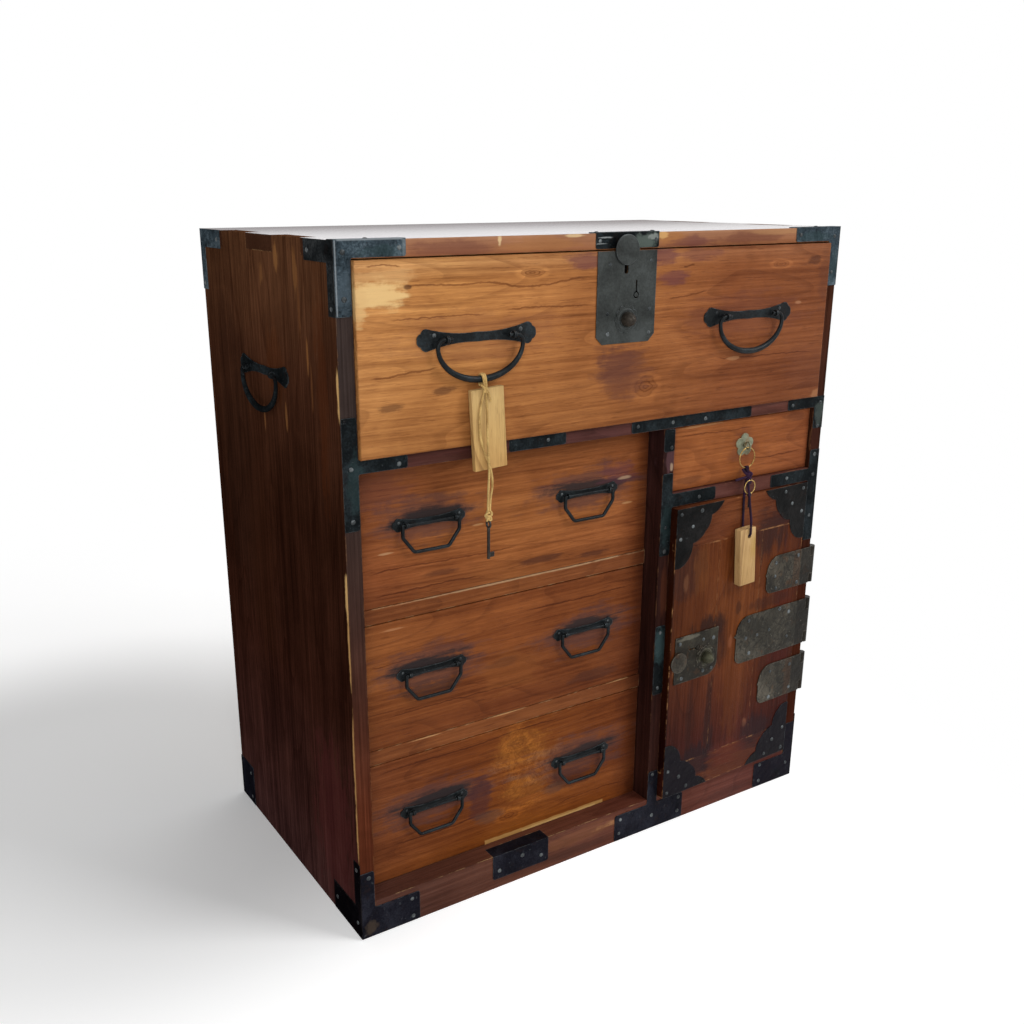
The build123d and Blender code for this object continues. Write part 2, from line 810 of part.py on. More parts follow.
door_lock_x = door_x[0] + door_lock_inset + door_lock_width / 2
door_disc_x = door_disc_inset - door_lock_width / 2
door_lock = {
    "plane": facing(door_lock_x, door_face, door_lock_middle, (0, -1, 0)),
    "disc": (door_disc_x, -door_disc_drop),
    "stem": (door_disc_x + door_stem_offset, -door_disc_drop),
    "way": (-door_disc_travel, 0),
    "keyhole": (2.0, 12.7),
    "turn": 90,
    "button": (17.5, -5.7),
}

door_width = door_x[1] - door_x[0]
door_board_width = (door_width - (door_board_count - 1) * door_board_gap) / door_board_count
door_boards = []
for number in range(door_board_count):
    board_left = door_x[0] + number * (door_board_width + door_board_gap)
    board_x = (board_left, board_left + door_board_width)
    with BuildPart() as door_board:
        slab(board_x, door_y, panel_z)
        slab(board_x, tongue_y, tongue_z)
        lock_holes(door_lock, 0, door_thickness)
    door_boards.append(door_board.part)
keep_on_door("door_boards", *door_boards)

clamps = []
for clamp_z in ((door_z[0], panel_z[0]), (panel_z[1], door_z[1])):
    with BuildPart() as clamp:
        slab(door_x, door_y, clamp_z)
        slab(door_x, tongue_y, tongue_z, Mode.SUBTRACT)
    clamps.append(clamp.part)
keep_on_door("door_clamps", *clamps)

# Where the scallops of a corner iron meet, as shares of its width and height
scallop_cusps = ((0, 1), (0.24, 0.92), (0.36, 0.62), (0.62, 0.46), (0.74, 0.2), (1, 0))


def corner_iron(x, z, across, up):
    """A door's corner iron: straight along the two edges, scalloped along the third side."""
    with BuildPart() as iron:
        with BuildSketch(Plane.XZ.offset(-door_face)) as outline:
            cusps = [
                (x + across * along * corner_iron_width, z + up * off * corner_iron_height)
                for along, off in scallop_cusps
            ]
            with BuildLine():
                Polyline(cusps[-1], (x, z), cusps[0])
                for start, end in zip(cusps, cusps[1:]):
                    SagittaArc(start, end, scallop_depth * across * up)
            make_face()
        extrude(outline.sketch, amount=iron_thickness)
    return iron.part


keep_on_door(
    "door_corner_irons",
    corner_iron(door_x[0], door_z[1], 1, -1),
    corner_iron(door_x[1], door_z[1], -1, -1),
    corner_iron(door_x[0], door_z[0], 1, 1),
    corner_iron(door_x[1], door_z[0], -1, 1),
)
keep_on_door(
    "door_lock_plate",
    lock_plate(door_lock, door_lock_width, door_lock_height, 0, door_lock_round),
    lock_case(
        door_lock["plane"],
        (3.0, 0.0),
        lock_case_width,
        lock_case_height,
        door_thickness,
        pin=door_lock["keyhole"],
    ),
)
keep_on_door("door_lock_disc", lock_disc(door_lock, door_disc_radius, door_thickness))
keep_on_door("door_lock_button", lock_button(door_lock, door_thickness))

# The three hinges: a leaf over the door's face, a leaf on the side of the case, and the pin


def disc_on_axis(low, high, radius, mode=Mode.ADD):
    """A round length of knuckle, pin or bore on the hinge's axis."""
    with BuildSketch(Plane.XY.offset(low)) as circle:
        with Locations((hinge_x, hinge_y)):
            Circle(radius)
    extrude(circle.sketch, amount=high - low, mode=mode)


def leaf_outline(end, cusp, z):
    """A door leaf: a large round upper corner, a cusp below it and an eased lower corner."""
    low, high = z
    body = end + cusp
    cusp_z = high - leaf_cusp_drop
    eased = 1 - math.sqrt(0.5)
    top, foot = leaf_top_radius, leaf_foot_radius
    with BuildLine() as edge:
        Polyline((body + foot, low), (right, low), (right, high), (body + top, high))
        ThreePointArc(
            (body + top, high), (body + eased * top, high - eased * top), (body, high - top)
        )
        Polyline((body, high - top), (end, cusp_z), (body, cusp_z - cusp), (body, low + foot))
        ThreePointArc(
            (body, low + foot), (body + eased * foot, low + eased * foot), (body + foot, low)
        )
    make_face(edge.edges())


door_leaves = []
side_leaves = []
for height, centre, reach, cusp in zip(hinge_heights, hinge_centres, hinge_reaches, leaf_cusps):
    z = (centre - height / 2, centre + height / 2)
    knuckle = (z[0] + height / 4, z[1] - height / 4)
    with BuildPart() as door_leaf:
        with BuildSketch(Plane.XZ.offset(-door_face)) as leaf:
            leaf_outline(inner_right - reach, cusp, z)
        extrude(leaf.sketch, amount=leaf_thickness)
        slab((right - leaf_thickness, hinge_x), (door_face - leaf_thickness, door_face), knuckle)
        disc_on_axis(*knuckle, barrel_radius)
        disc_on_axis(*knuckle, pin_radius + pin_clearance, Mode.SUBTRACT)
    door_leaves.append(door_leaf.part)
    leaf_x = (right, right + leaf_thickness)
    leaf_end = hinge_y + side_leaf_length
    with BuildPart() as side_leaf:
        slab(leaf_x, (hinge_y + barrel_radius + knuckle_gap, leaf_end), z)
        for low, high in ((z[0], knuckle[0] - knuckle_gap), (knuckle[1] + knuckle_gap, z[1])):
            slab(leaf_x, (hinge_y, leaf_end), (low, high))
            disc_on_axis(low, high, barrel_radius)
            disc_on_axis(low, high, pin_radius, Mode.SUBTRACT)
    with BuildPart() as pin:
        disc_on_axis(*z, pin_radius)
    side_leaves += [side_leaf.part, pin.part]
keep_on_door("door_hinge_leaves", *door_leaves)
keep("side_hinge_leaves", *side_leaves)

# Irons nailed over the corners and joints of the case
front_plane = Plane.XZ.offset(-front)
iron_front = front - iron_thickness
iron_top = case_height + iron_thickness
stile_width = side_thickness - strap_inset


def sheet(*rectangles):
    """Iron sheet on the front of the case: joined rectangles, eased at their free corners."""
    with BuildSketch(front_plane) as outline:
        for x, z in rectangles:
            with Locations(((x[0] + x[1]) / 2, (z[0] + z[1]) / 2)):
                Rectangle(x[1] - x[0], z[1] - z[0])
        free = outline.vertices().filter_by(
            lambda corner: abs(corner.X) < right - strap_inset and corner.Y < top_under + top_thickness / 2
        )
        fillet(free, iron_corner_radius)
    extrude(outline.sketch, amount=iron_thickness)


def inward(side, length):
    """From an outer edge of the front, a length towards the middle."""
    return sorted((side * right, side * (right - length)))


def on_side(side, y, z):
    """Iron sheet on the outside of a side."""
    slab(sorted((side * right, side * (right + iron_thickness))), y, z)


corner_pieces = []
base_pieces = []
drop = case_height - corner_drop
arm_z = (top_under + strap_inset, case_height)
side_arm_z = (case_height - corner_side_height, case_height)
side_front = (iron_front, front + corner_side_width)
base_z = (floor_clearance, base_arm_height)
for side in (-1, 1):
    with BuildPart() as top_iron:
        sheet((inward(side, corner_arm), arm_z), (inward(side, stile_width), (drop, case_height)))
        on_side(side, side_front, (drop, case_height))
        on_side(side, (iron_front, front + corner_side_arm), side_arm_z)
        fold_x = sorted((side * (right + iron_thickness), side * (right - corner_arm)))
        slab(fold_x, (iron_front, front + top_fold), (case_height, iron_top))
    with BuildPart() as rear_iron:
        on_side(side, (rear - corner_side_arm, rear + iron_thickness), side_arm_z)
        on_side(side, (rear - corner_side_width, rear + iron_thickness), (drop, case_height))
        slab(inward(side, rear_iron_arm), (rear, rear + iron_thickness), side_arm_z)
    corner_pieces += [top_iron.part, rear_iron.part]
    with BuildPart() as base_iron:
        sheet((inward(side, base_arm), base_z), (inward(side, stile_width), (base_z[0], base_stile_rise)))
        on_side(side, side_front, (floor_clearance, base_side_rise))
        on_side(side, (iron_front, front + base_side_arm), base_z)
    with BuildPart() as rear_base_iron:
        on_side(side, (rear - rear_base_arm, rear + iron_thickness), (floor_clearance, rear_base_rise))
        slab(inward(side, rear_iron_arm), (rear, rear + iron_thickness), base_z)
    base_pieces += [base_iron.part, rear_base_iron.part]
keep("corner_irons", *corner_pieces)

post_x = (divider_left + strap_inset / 2, divider_right - strap_inset / 2)
upper_rail_z = (upper_rail_under + strap_inset / 2, upper_rail_top - strap_inset / 2)
right_rail_z = (right_rail_under + strap_inset, right_rail_top - strap_inset)

with BuildPart() as base_plate:
    sheet((base_plate_x, (base_plate_bottom, base_rail_height - strap_inset)))
    fold_z = (base_rail_height - iron_thickness, base_rail_height)
    slab(base_plate_x, (iron_front, front), (base_rail_height - 2 * strap_inset, base_rail_height))
    slab(base_plate_x, (iron_front, front + base_plate_fold), fold_z)
with BuildPart() as base_post_iron:
    sheet((base_post_x, base_z), (post_x, (base_z[0], base_post_rise)))
keep("base_irons", *base_pieces, base_plate.part, base_post_iron.part)

left_stile = inward(-1, stile_width)
right_stile = inward(1, stile_width)
strap_outlines = [
    [(left_stile, left_stile_strap_z), ((left, left_rail_strap_end), upper_rail_z)],
    *[[(span, upper_rail_z)] for span in rail_strap_spans],
    [(right_stile, (right_stile_strap_bottom, upper_rail_z[1])), ((right_rail_strap_start, right), upper_rail_z)],
    [(right_stile, right_lower_strap_z), ((right_rail_iron_spans[1], right), right_rail_z)],
    [(post_x, post_top_strap_z)],
    [(post_x, post_strap_z), ((post_x[0], right_rail_iron_spans[0]), right_rail_z)],
    [(post_x, post_middle_strap_z)],
]
with BuildPart() as centre_strap:
    sheet((centre_strap_x, arm_z))
    slab(centre_strap_x, (iron_front, front + top_fold), (case_height, iron_top))
straps = [centre_strap.part]
for outline in strap_outlines:
    with BuildPart() as strap:
        sheet(*outline)
    straps.append(strap.part)
keep("edge_straps", *straps)

# What hangs on the chest: cords, tags and keys. The fob and its cord are placed from the middle
# of the small drawer's key, and the tag and its twine from the lowest point of the bail.
key_middle = (key_x, bow_y, flower_height)
bail_bottom = (-wide_handle_offset, wide_face - bail_standoff, wide_handle_height - bail_drop)


def measured_from(anchor, offset):
    return tuple(start + step for start, step in zip(anchor, offset))


def tube(anchor, offsets, radius):
    """A cord's length: straight runs joined by tangent arcs as large as the runs allow."""
    corners = [Vector(*measured_from(anchor, offset)) for offset in offsets]
    runs = [end - start for start, end in zip(corners, corners[1:])]
    bends = []
    for before, after in zip(runs, runs[1:]):
        half_turn = math.radians(before.get_angle(after)) / 2
        bends.append(0.45 * min(before.length, after.length) / math.tan(half_turn))
    print("cord radii, mm:", *[round(bend, 1) for bend in bends])
    with BuildPart() as cord:
        with BuildLine() as route:
            FilletPolyline(*corners, radius=bends)
        with BuildSketch(Plane(origin=route.line @ 0, z_dir=route.line % 0)) as section:
            Circle(radius)
        sweep(section.sketch, path=route.line)
    return cord.part


def ball(anchor, offset, radius):
    """A knot, as plain as the cord."""
    with BuildPart() as knot:
        with Locations(measured_from(anchor, offset)):
            Sphere(radius)
    return knot.part


def hanging_key(top, outer, hole, shaft_radius, length):
    """A key that hangs by its bow: a round shaft with a flat bit at its end."""
    x, y, z = top
    bow_z = z - outer
    shaft_top = bow_z - (outer + hole) / 2
    with BuildPart() as key:
        key_bow((x, y, bow_z), outer, hole, shaft_radius)
        with BuildSketch(Plane.XY.offset(z - length)) as shaft:
            with Locations((x, y)):
                Circle(shaft_radius)
        extrude(shaft.sketch, amount=shaft_top - z + length)
        bit_z = (z - length + shaft_radius, z - length + 4 * shaft_radius)
        slab((x, x + 4 * shaft_radius), (y - shaft_radius / 2, y + shaft_radius / 2), bit_z)
    return key.part


def wooden_tag(middle, size, edge_radius, tilt):
    """A flat wooden tag that hangs a little out of the upright."""
    width, thickness, height = size
    with BuildPart(Plane(origin=middle, z_dir=(0, 0, 1)).rotated((0, -tilt, 0))) as tag:
        Box(width, thickness, height)
        fillet(edges(), radius=edge_radius)
    return tag.part


with BuildPart() as fob_rings:
    ring_z = flower_height - bow_hole + ring_wire + hanging_clearance - ring_radius
    with Locations((key_x, bow_y, ring_z)):
        Torus(ring_radius, ring_wire, rotation=(90, 0, 0))
    fob_ring = measured_from(key_middle, fob_ring_offset)
    with Locations(fob_ring):
        Torus(fob_ring_radius, ring_wire, rotation=(90, 0, 0))
keep("fob_rings", fob_rings.part)

fob_bow_top = ring_wire + hanging_clearance - fob_ring_radius + fob_key_bow - fob_key_hole
fob_key_top = measured_from(fob_ring, (0, 0, fob_bow_top))
keep("fob_key", hanging_key(fob_key_top, fob_key_bow, fob_key_hole, fob_key_shaft, fob_key_length))

fob_middle = measured_from(key_middle, fob_offset)
fob_size = (fob_width, fob_thickness, fob_height)
with BuildPart() as fob:
    add(wooden_tag(fob_middle, fob_size, fob_edge_radius, fob_tilt))
    with BuildSketch(Plane.XZ.offset(-fob_middle[1] - fob_thickness)) as fob_bore:
        with Locations((fob_middle[0], fob_middle[2] + fob_height / 2 - fob_hole_from_top)):
            Circle(fob_hole)
    extrude(fob_bore.sketch, amount=2 * fob_thickness, both=True, mode=Mode.SUBTRACT)
keep("right_fob", fob.part)

right_cord_routes = [
    [(-2.0, -0.4, -33.8), (-2.3, -2.1, -35.6), (-2.3, -3.7, -38.0)],
    [(1.8, -0.4, -33.8), (1.8, -2.0, -35.6), (1.5, -3.7, -38.0)],
    [(-5.6, -6.5, -42.6), (-14.5, -6.4, -43.8), (-25.0, -5.6, -45.0)],
    [(-4.9, -6.4, -39.2), (-9.5, -5.9, -35.5), (-13.1, -5.8, -31.0)],
    [
        (-4.3, -5.3, -46.6), (-6.1, -5.7, -63.0), (-6.4, -5.8, -81.0),
        (-5.5, -5.9, -100.0), (-4.6, -5.9, -115.0), (-4.2, -5.9, -126.0), (-4.2, -13.4, -126.1),
    ],
    [
        (-0.3, -6.1, -47.8), (-1.5, -7.1, -54.5), (-2.9, -11.8, -66.0), (-4.3, -16.5, -84.0),
        (-4.8, -21.3, -102.0), (-4.6, -21.4, -115.0), (-4.1, -21.4, -126.0), (-4.1, -13.6, -126.1),
    ],
]
keep(
    "right_cord",
    *[tube(key_middle, points, cord_radius) for points in right_cord_routes],
    ball(key_middle, (-0.5, -6.5, -42.4), 4.4),
)

tag_size = (tag_width, tag_thickness, tag_height)
keep("left_tag", wooden_tag(measured_from(bail_bottom, tag_offset), tag_size, tag_edge_radius, tag_tilt))
tag_key_top = measured_from(bail_bottom, (6.9, -3.2, -167.3))
keep("left_key", hanging_key(tag_key_top, tag_key_bow, tag_key_hole, tag_key_shaft, tag_key_length))

twine_loops = [
    [(x, -5.9, -9.0), (x, -5.7, 5.6), (x, 5.6, 5.6), (x, 5.7, -4.0), (x, 3.0, -7.8)]
    for x in (-0.4, 2.4)
]
twine_routes = twine_loops + [
    [(-1.3, -8.8, -9.5), (-3.8, -8.8, -7.7), (-6.2, -8.3, -4.7)],
    [(3.6, -8.6, -14.4), (5.2, -8.5, -19.7), (7.0, -8.0, -25.1)],
    [
        (-0.4, -5.1, -14.8), (-3.9, -5.0, -26.7), (-6.7, -5.0, -47.3), (-5.0, -5.0, -68.6),
        (1.1, -5.0, -86.7), (8.8, -5.0, -103.0), (12.4, -4.5, -124.0), (8.6, -3.5, -142.5),
        (8.7, -3.4, -156.2),
    ],
    [
        (2.6, -5.6, -14.8), (3.3, -6.6, -38.0), (2.9, -7.2, -63.0), (3.7, -8.0, -87.0),
        (5.3, -7.8, -109.0), (4.9, -5.7, -133.0), (5.6, -4.0, -156.2),
    ],
]
keep(
    "left_twine",
    *[tube(bail_bottom, points, twine_radius) for points in twine_routes],
    ball(bail_bottom, (1.0, -6.3, -12.0), 2.6),
    ball(bail_bottom, (6.9, -3.2, -162.0), 5.2),
)
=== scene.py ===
import math
import random

import bpy
from mathutils import Matrix, Vector
from mathutils.bvhtree import BVHTree


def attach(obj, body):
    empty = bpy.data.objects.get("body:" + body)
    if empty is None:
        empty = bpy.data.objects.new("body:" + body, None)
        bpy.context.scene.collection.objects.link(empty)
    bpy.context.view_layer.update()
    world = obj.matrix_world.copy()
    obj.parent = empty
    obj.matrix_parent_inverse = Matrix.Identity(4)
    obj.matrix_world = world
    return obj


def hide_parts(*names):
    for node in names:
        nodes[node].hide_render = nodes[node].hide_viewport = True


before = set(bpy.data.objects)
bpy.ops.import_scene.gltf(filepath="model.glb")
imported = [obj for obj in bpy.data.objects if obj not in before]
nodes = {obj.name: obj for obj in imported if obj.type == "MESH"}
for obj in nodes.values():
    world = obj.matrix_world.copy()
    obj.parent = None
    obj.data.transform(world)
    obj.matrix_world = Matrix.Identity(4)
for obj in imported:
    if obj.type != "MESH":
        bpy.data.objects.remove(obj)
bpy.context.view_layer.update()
mm = 0.001
random.seed(7)

print("stage: camera, floor and lamps")

view = {
    "place": (-0.8573, -1.2651, 0.9004), "looks": (0.5112, 0.8031, -0.3061), "lens": 38.19,
    "shift": (0.0184, 0.0251),
}
cameraData = bpy.data.cameras.new("camera")
camera = bpy.data.objects.new("camera", cameraData)
bpy.context.scene.collection.objects.link(camera)
camera.location = view["place"]
camera.rotation_mode = "QUATERNION"
camera.rotation_quaternion = Vector(view["looks"]).to_track_quat("-Z", "Y")
cameraData.sensor_width = 36
cameraData.lens = view["lens"]
cameraData.shift_x, cameraData.shift_y = view["shift"]
cameraData.clip_end = 60
bpy.context.scene.camera = camera
bpy.context.scene.view_settings.view_transform = "Standard"


# Short names for the shader nodes

def addNode(kind, inputs=None, **settings):
    made = tree.nodes.new("ShaderNode" + kind)
    for name, value in settings.items():
        setattr(made, name, value)
    for name, value in (inputs or {}).items():
        if isinstance(value, bpy.types.NodeSocket):
            tree.links.new(value, made.inputs[name])
        else:
            made.inputs[name].default_value = value
    return made


def maths(operation, first, second=0.5):
    return addNode("Math", {0: first, 1: second}, operation=operation).outputs[0]


def vector(operation, first, second):
    return addNode("VectorMath", {0: first, 1: second}, operation=operation).outputs[0]


def times(first, second):
    return maths("MULTIPLY", first, second)


def plus(first, second):
    return maths("ADD", first, second)


def minus(first, second):
    return maths("SUBTRACT", first, second)


def tinted(colour, factors):
    return vector("MULTIPLY", colour, factors)


def norm(value):
    return addNode("VectorMath", {0: value}, operation="LENGTH").outputs["Value"]


def spread(value, low, high, toLow=0.0, toHigh=1.0):
    inputs = {"Value": value, "From Min": low, "From Max": high, "To Min": toLow, "To Max": toHigh}
    return addNode("MapRange", inputs, interpolation_type="SMOOTHSTEP").outputs[0]


def blend(share, first, second):
    return addNode("Mix", {0: share, 6: first, 7: second}, data_type="RGBA").outputs[2]


def rgb(red, green, blue):
    return (red, green, blue, 1)


def stained(colour, mask, share, stain):
    # The stain laid over the colour where the mask is, at its share of full strength
    stain = stain if isinstance(stain, bpy.types.NodeSocket) else rgb(*stain)
    return blend(times(mask, share), colour, stain)


def ramp(value, stops, way="LINEAR"):
    made = addNode("ValToRGB", {"Fac": value})
    band = made.color_ramp
    band.interpolation = way
    band.elements.remove(band.elements[1])
    band.elements[0].position, band.elements[0].color = stops[0][0], rgb(*stops[0][1])
    for place, colour in stops[1:]:
        band.elements.new(place).color = rgb(*colour)
    return made.outputs["Color"]


def noise(coords, scale, detail=4.0, rough=0.5, bend=0.0):
    inputs = {"Vector": coords, "Scale": scale, "Detail": detail, "Roughness": rough, "Distortion": bend}
    return addNode("TexNoise", inputs).outputs["Fac"]


def placed(coords, scale, shift=(0, 0, 0)):
    return addNode("Mapping", {"Vector": coords, "Scale": scale, "Location": shift}).outputs[0]


def objectCoords():
    return addNode("TexCoord").outputs["Object"]


def axes(coords):
    return addNode("SeparateXYZ", {"Vector": coords}).outputs


def plainRays():
    # 1 for the camera's rays, reflections and what shines through, 0 for the light on the chest
    path = addNode("LightPath").outputs
    seen = maths("MAXIMUM", path["Is Camera Ray"], path["Is Glossy Ray"])
    return maths("MAXIMUM", seen, path["Is Transmission Ray"])


def newMaterial(name):
    # The helpers add their nodes to the tree that was made last
    global tree
    material = bpy.data.materials.new(name)
    material.use_nodes = True
    tree = material.node_tree
    return material, tree.nodes["Principled BSDF"]


def dress(name, material):
    piece = nodes[name] if isinstance(name, str) else name
    if piece.data.materials:
        piece.material_slots[0].material = material
    else:
        piece.data.materials.append(material)


# Floor and world: white to the camera and in reflections, plain light for everything else

floorLook = {
    "size": 30, "colour": 0.95, "middle": (-0.6, 0.3, 0), "lift": (0.1, 0.45), "liftReach": (0.32, 0.74),
    "fadeReach": (0.8, 1.45),
}
bpy.ops.object.select_all(action="DESELECT")
bpy.ops.mesh.primitive_plane_add(size=floorLook["size"])
floor = bpy.context.object
floor.name = "floor"
material, shader = newMaterial("paleFloor")
shader.inputs["Base Color"].default_value = rgb(*[floorLook["colour"]] * 3)
shader.inputs["Roughness"].default_value = 1
shader.inputs["Specular IOR Level"].default_value = 0
seen = plainRays()
distance = norm(vector("SUBTRACT", objectCoords(), floorLook["middle"]))
raised = spread(distance, *floorLook["liftReach"], *floorLook["lift"])
lift = addNode("Emission", {"Strength": times(seen, raised)})
lit = addNode("AddShader", {0: shader.outputs[0], 1: lift.outputs[0]})
fade = spread(distance, *floorLook["fadeReach"])
white = addNode("Emission", {"Strength": 1})
far = addNode("MixShader", {0: times(fade, seen), 1: lit.outputs[0], 2: white.outputs[0]})
tree.links.new(far.outputs[0], tree.nodes["Material Output"].inputs["Surface"])
floor.data.materials.append(material)

worldLook = {"light": 0.26}
world = bpy.data.worlds.new("studio")
bpy.context.scene.world = world
world.use_nodes = True
tree = world.node_tree
strength = addNode("MapRange", {"Value": plainRays(), "To Min": worldLook["light"], "To Max": 1}).outputs[0]
background = tree.nodes["Background"]
background.inputs["Color"].default_value = rgb(1, 1, 1)
tree.links.new(strength, background.inputs["Strength"])

lamps = {
    "keyLamp": {"place": (2.1, -2.5, 2.9), "aim": (0, -0.1, 0.4), "size": 1.6, "power": 74},
    "frontLamp": {"place": (-1.6, -2.3, 1.6), "aim": (-0.2, -0.2, 0.55), "size": 1.4, "power": 31},
    "topLamp": {"place": (0.8, 0.3, 3.4), "aim": (0, 0, 0.8), "size": 2.4, "power": 26},
}
for name, lamp in lamps.items():
    data = bpy.data.lights.new(name, "AREA")
    data.size = lamp["size"]
    data.energy = lamp["power"]
    made = bpy.data.objects.new(name, data)
    bpy.context.scene.collection.objects.link(made)
    made.location = lamp["place"]
    toAim = Vector(lamp["aim"]) - Vector(lamp["place"])
    made.rotation_mode = "QUATERNION"
    made.rotation_quaternion = toAim.to_track_quat("-Z", "Y")


print("stage: cords")

cordLook = {"pointsPerTurn": 10, "firstSide": (0.3, 1, 0.2), "knotRadius": 0.9, "knotPitch": 0.7, "loopPitch": 0.6}
twine = {
    "radius": 1.3, "full": 1.18, "threads": 3, "thread": 0.56, "pitch": 7.5,
    "loops": [
        [(x, -229.9, 686), (x, -229.7, 700.6), (x, -218.4, 700.6), (x, -218.3, 691), (x, -221, 687.2)]
        for x in (-210.4, -207.6)
    ],
    "tails": [
        [(-211.3, -232.8, 685.5), (-213.8, -232.8, 687.3), (-216.2, -232.3, 690.3)],
        [(-206.4, -232.6, 680.6), (-204.8, -232.5, 675.3), (-203, -232, 669.9)],
    ],
    "strands": [
        [
            (-210.4, -229.1, 680.2), (-213.9, -229, 668.3), (-216.7, -229, 647.7), (-215, -229, 626.4),
            (-208.9, -229, 608.3), (-201.2, -229, 592), (-197.6, -228.5, 571), (-201.4, -227.5, 552.5),
            (-201.3, -227.4, 538.8),
        ],
        [
            (-207.4, -229.6, 680.2), (-206.7, -230.6, 657), (-207.1, -231.2, 632), (-206.3, -232, 608),
            (-204.7, -231.8, 586), (-205.1, -229.7, 562), (-204.4, -228, 538.8),
        ],
    ],
    "knots": [
        {"middle": (-209, -230.6, 683), "size": (3.6, 2.6, 3.4), "turn": 0.4},
        {"middle": (-203.1, -227.4, 534.4), "size": (5.2, 4.2, 6), "turn": 1.1},
        {"middle": (-203.3, -228, 530), "size": (4.4, 3.6, 4), "turn": 2.3},
    ],
}
purple = {
    "radius": 1.6, "full": 1.15, "threads": 4, "thread": 0.5, "pitch": 9, "loopRadius": 0.8,
    "loops": [
        [
            (x, -216.6, 522.4), (x, -212.2, 525), (x, -210.55, 527.6), (x, -210.55, 531.65), (x, -214.45, 531.65),
            (x, -214.8, 527.4), (x, -217.2, 522.8),
        ]
        for x in (229.8, 231.6, 233.4)
    ],
    "tails": [
        [(225.9, -219, 518.4), (217, -218.9, 517.2), (206.5, -218.1, 516)],
        [(226.6, -218.9, 521.8), (222, -218.4, 525.5), (218.4, -218.3, 530)],
    ],
    "strands": [
        [
            (227.2, -217.8, 514.4), (225.4, -218.2, 498), (225.1, -218.3, 480), (226, -218.4, 461),
            (226.9, -218.4, 446), (227.3, -218.4, 435), (227.3, -225.9, 434.9),
        ],
        [
            (231.2, -218.6, 513.2), (230, -219.6, 506.5), (228.6, -224.3, 495), (227.2, -229, 477),
            (226.7, -233.8, 459), (226.9, -233.9, 446), (227.4, -233.9, 435), (227.4, -226.1, 434.9),
        ],
    ],
    "knots": [
        {"middle": (231, -219.2, 520), "size": (5.6, 3.6, 5.2), "turn": 0.8},
        {"middle": (230.4, -219.4, 512), "size": (4.6, 3.4, 5.4), "turn": 2.2},
    ],
}


def nurbsLine(points, closed=False):
    # The smooth line through a route's control points, as close-set points
    data = bpy.data.curves.new("line", "CURVE")
    data.dimensions = "3D"
    data.resolution_u = 12
    spline = data.splines.new("NURBS")
    spline.points.add(len(points) - 1)
    for made, point in zip(spline.points, points):
        made.co = (*(value * mm for value in point), 1)
    spline.order_u = 3
    spline.use_endpoint_u = not closed
    spline.use_cyclic_u = closed
    made = bpy.data.objects.new("line", data)
    mesh = bpy.data.meshes.new_from_object(made)
    line = [vertex.co.copy() for vertex in mesh.vertices]
    bpy.data.objects.remove(made)
    bpy.data.meshes.remove(mesh)
    return line


def evenly(line, step):
    # The same line, with points a fixed step apart
    made = [line[0]]
    left = step
    for start, end in zip(line, line[1:]):
        run = (end - start).length
        while run > left:
            start = start.lerp(end, left / run)
            run = (end - start).length
            made.append(start)
            left = step
        left -= run
    if (line[-1] - made[-1]).length > 0.3 * step:
        made.append(line[-1])
    return made


def twisted(name, line, look, material, closed=False):
    # Threads twisted round a line, each a thin round bar
    core = look["radius"] * look["full"] * mm
    thread = core * look["thread"]
    points = evenly(line, look["pitch"] * mm / cordLook["pointsPerTurn"])
    data = bpy.data.curves.new(name, "CURVE")
    data.dimensions = "3D"
    data.bevel_depth = thread
    data.bevel_resolution = 1
    data.use_fill_caps = not closed
    side = Vector(cordLook["firstSide"]).normalized()
    frames = []
    for n, point in enumerate(points):
        before, after = points[max(n - 1, 0)], points[min(n + 1, len(points) - 1)]
        way = (after - before).normalized()
        side = (side - way * side.dot(way)).normalized()
        frames.append((point, side.copy(), way.cross(side)))
    for number in range(look["threads"]):
        spline = data.splines.new("POLY")
        spline.points.add(len(points) - 1)
        for n, (made, (point, one, two)) in enumerate(zip(spline.points, frames)):
            turn = 2 * math.pi * (n / cordLook["pointsPerTurn"] + number / look["threads"])
            made.co = (*(point + (core - thread) * (math.cos(turn) * one + math.sin(turn) * two)), 1)
        spline.use_cyclic_u = closed
    made = bpy.data.objects.new("threads", data)
    mesh = bpy.data.meshes.new_from_object(made)
    bpy.data.objects.remove(made)
    mesh.name = name
    mesh.materials.clear()
    mesh.materials.append(material)
    mesh.shade_smooth()
    piece = bpy.data.objects.new(name, mesh)
    bpy.context.scene.collection.objects.link(piece)
    return piece


def knotLine(knot):
    # A closed overhand knot round its middle: twice round while it weaves in and out three times
    count, mean, weave, depth = 18, 0.62, 0.3, 0.55
    line = []
    for n in range(count):
        turn = 2 * math.pi * n / count
        out = mean + weave * math.cos(3 * turn)
        place = Vector((out * math.cos(2 * turn), depth * math.sin(3 * turn), out * math.sin(2 * turn)))
        place = Matrix.Rotation(knot["turn"], 3, "Y") @ place
        line.append([middle + value * size for middle, value, size in zip(knot["middle"], place, knot["size"])])
    return nurbsLine(line, closed=True)


def cordMaterial(name, dark, light, rough):
    material, shader = newMaterial(name)
    coords = objectCoords()
    fibre = noise(coords, 1100, 4, 0.7)
    patch = noise(coords, 60, 2)
    share = plus(times(fibre, 0.6), times(patch, 0.4))
    tree.links.new(blend(spread(share, 0.36, 0.64), dark, light), shader.inputs["Base Color"])
    bump = addNode("Bump", {"Height": fibre, "Distance": 0.0003, "Strength": 0.7})
    tree.links.new(bump.outputs[0], shader.inputs["Normal"])
    shader.inputs["Roughness"].default_value = rough
    shader.inputs["Specular IOR Level"].default_value = 0.2
    return material


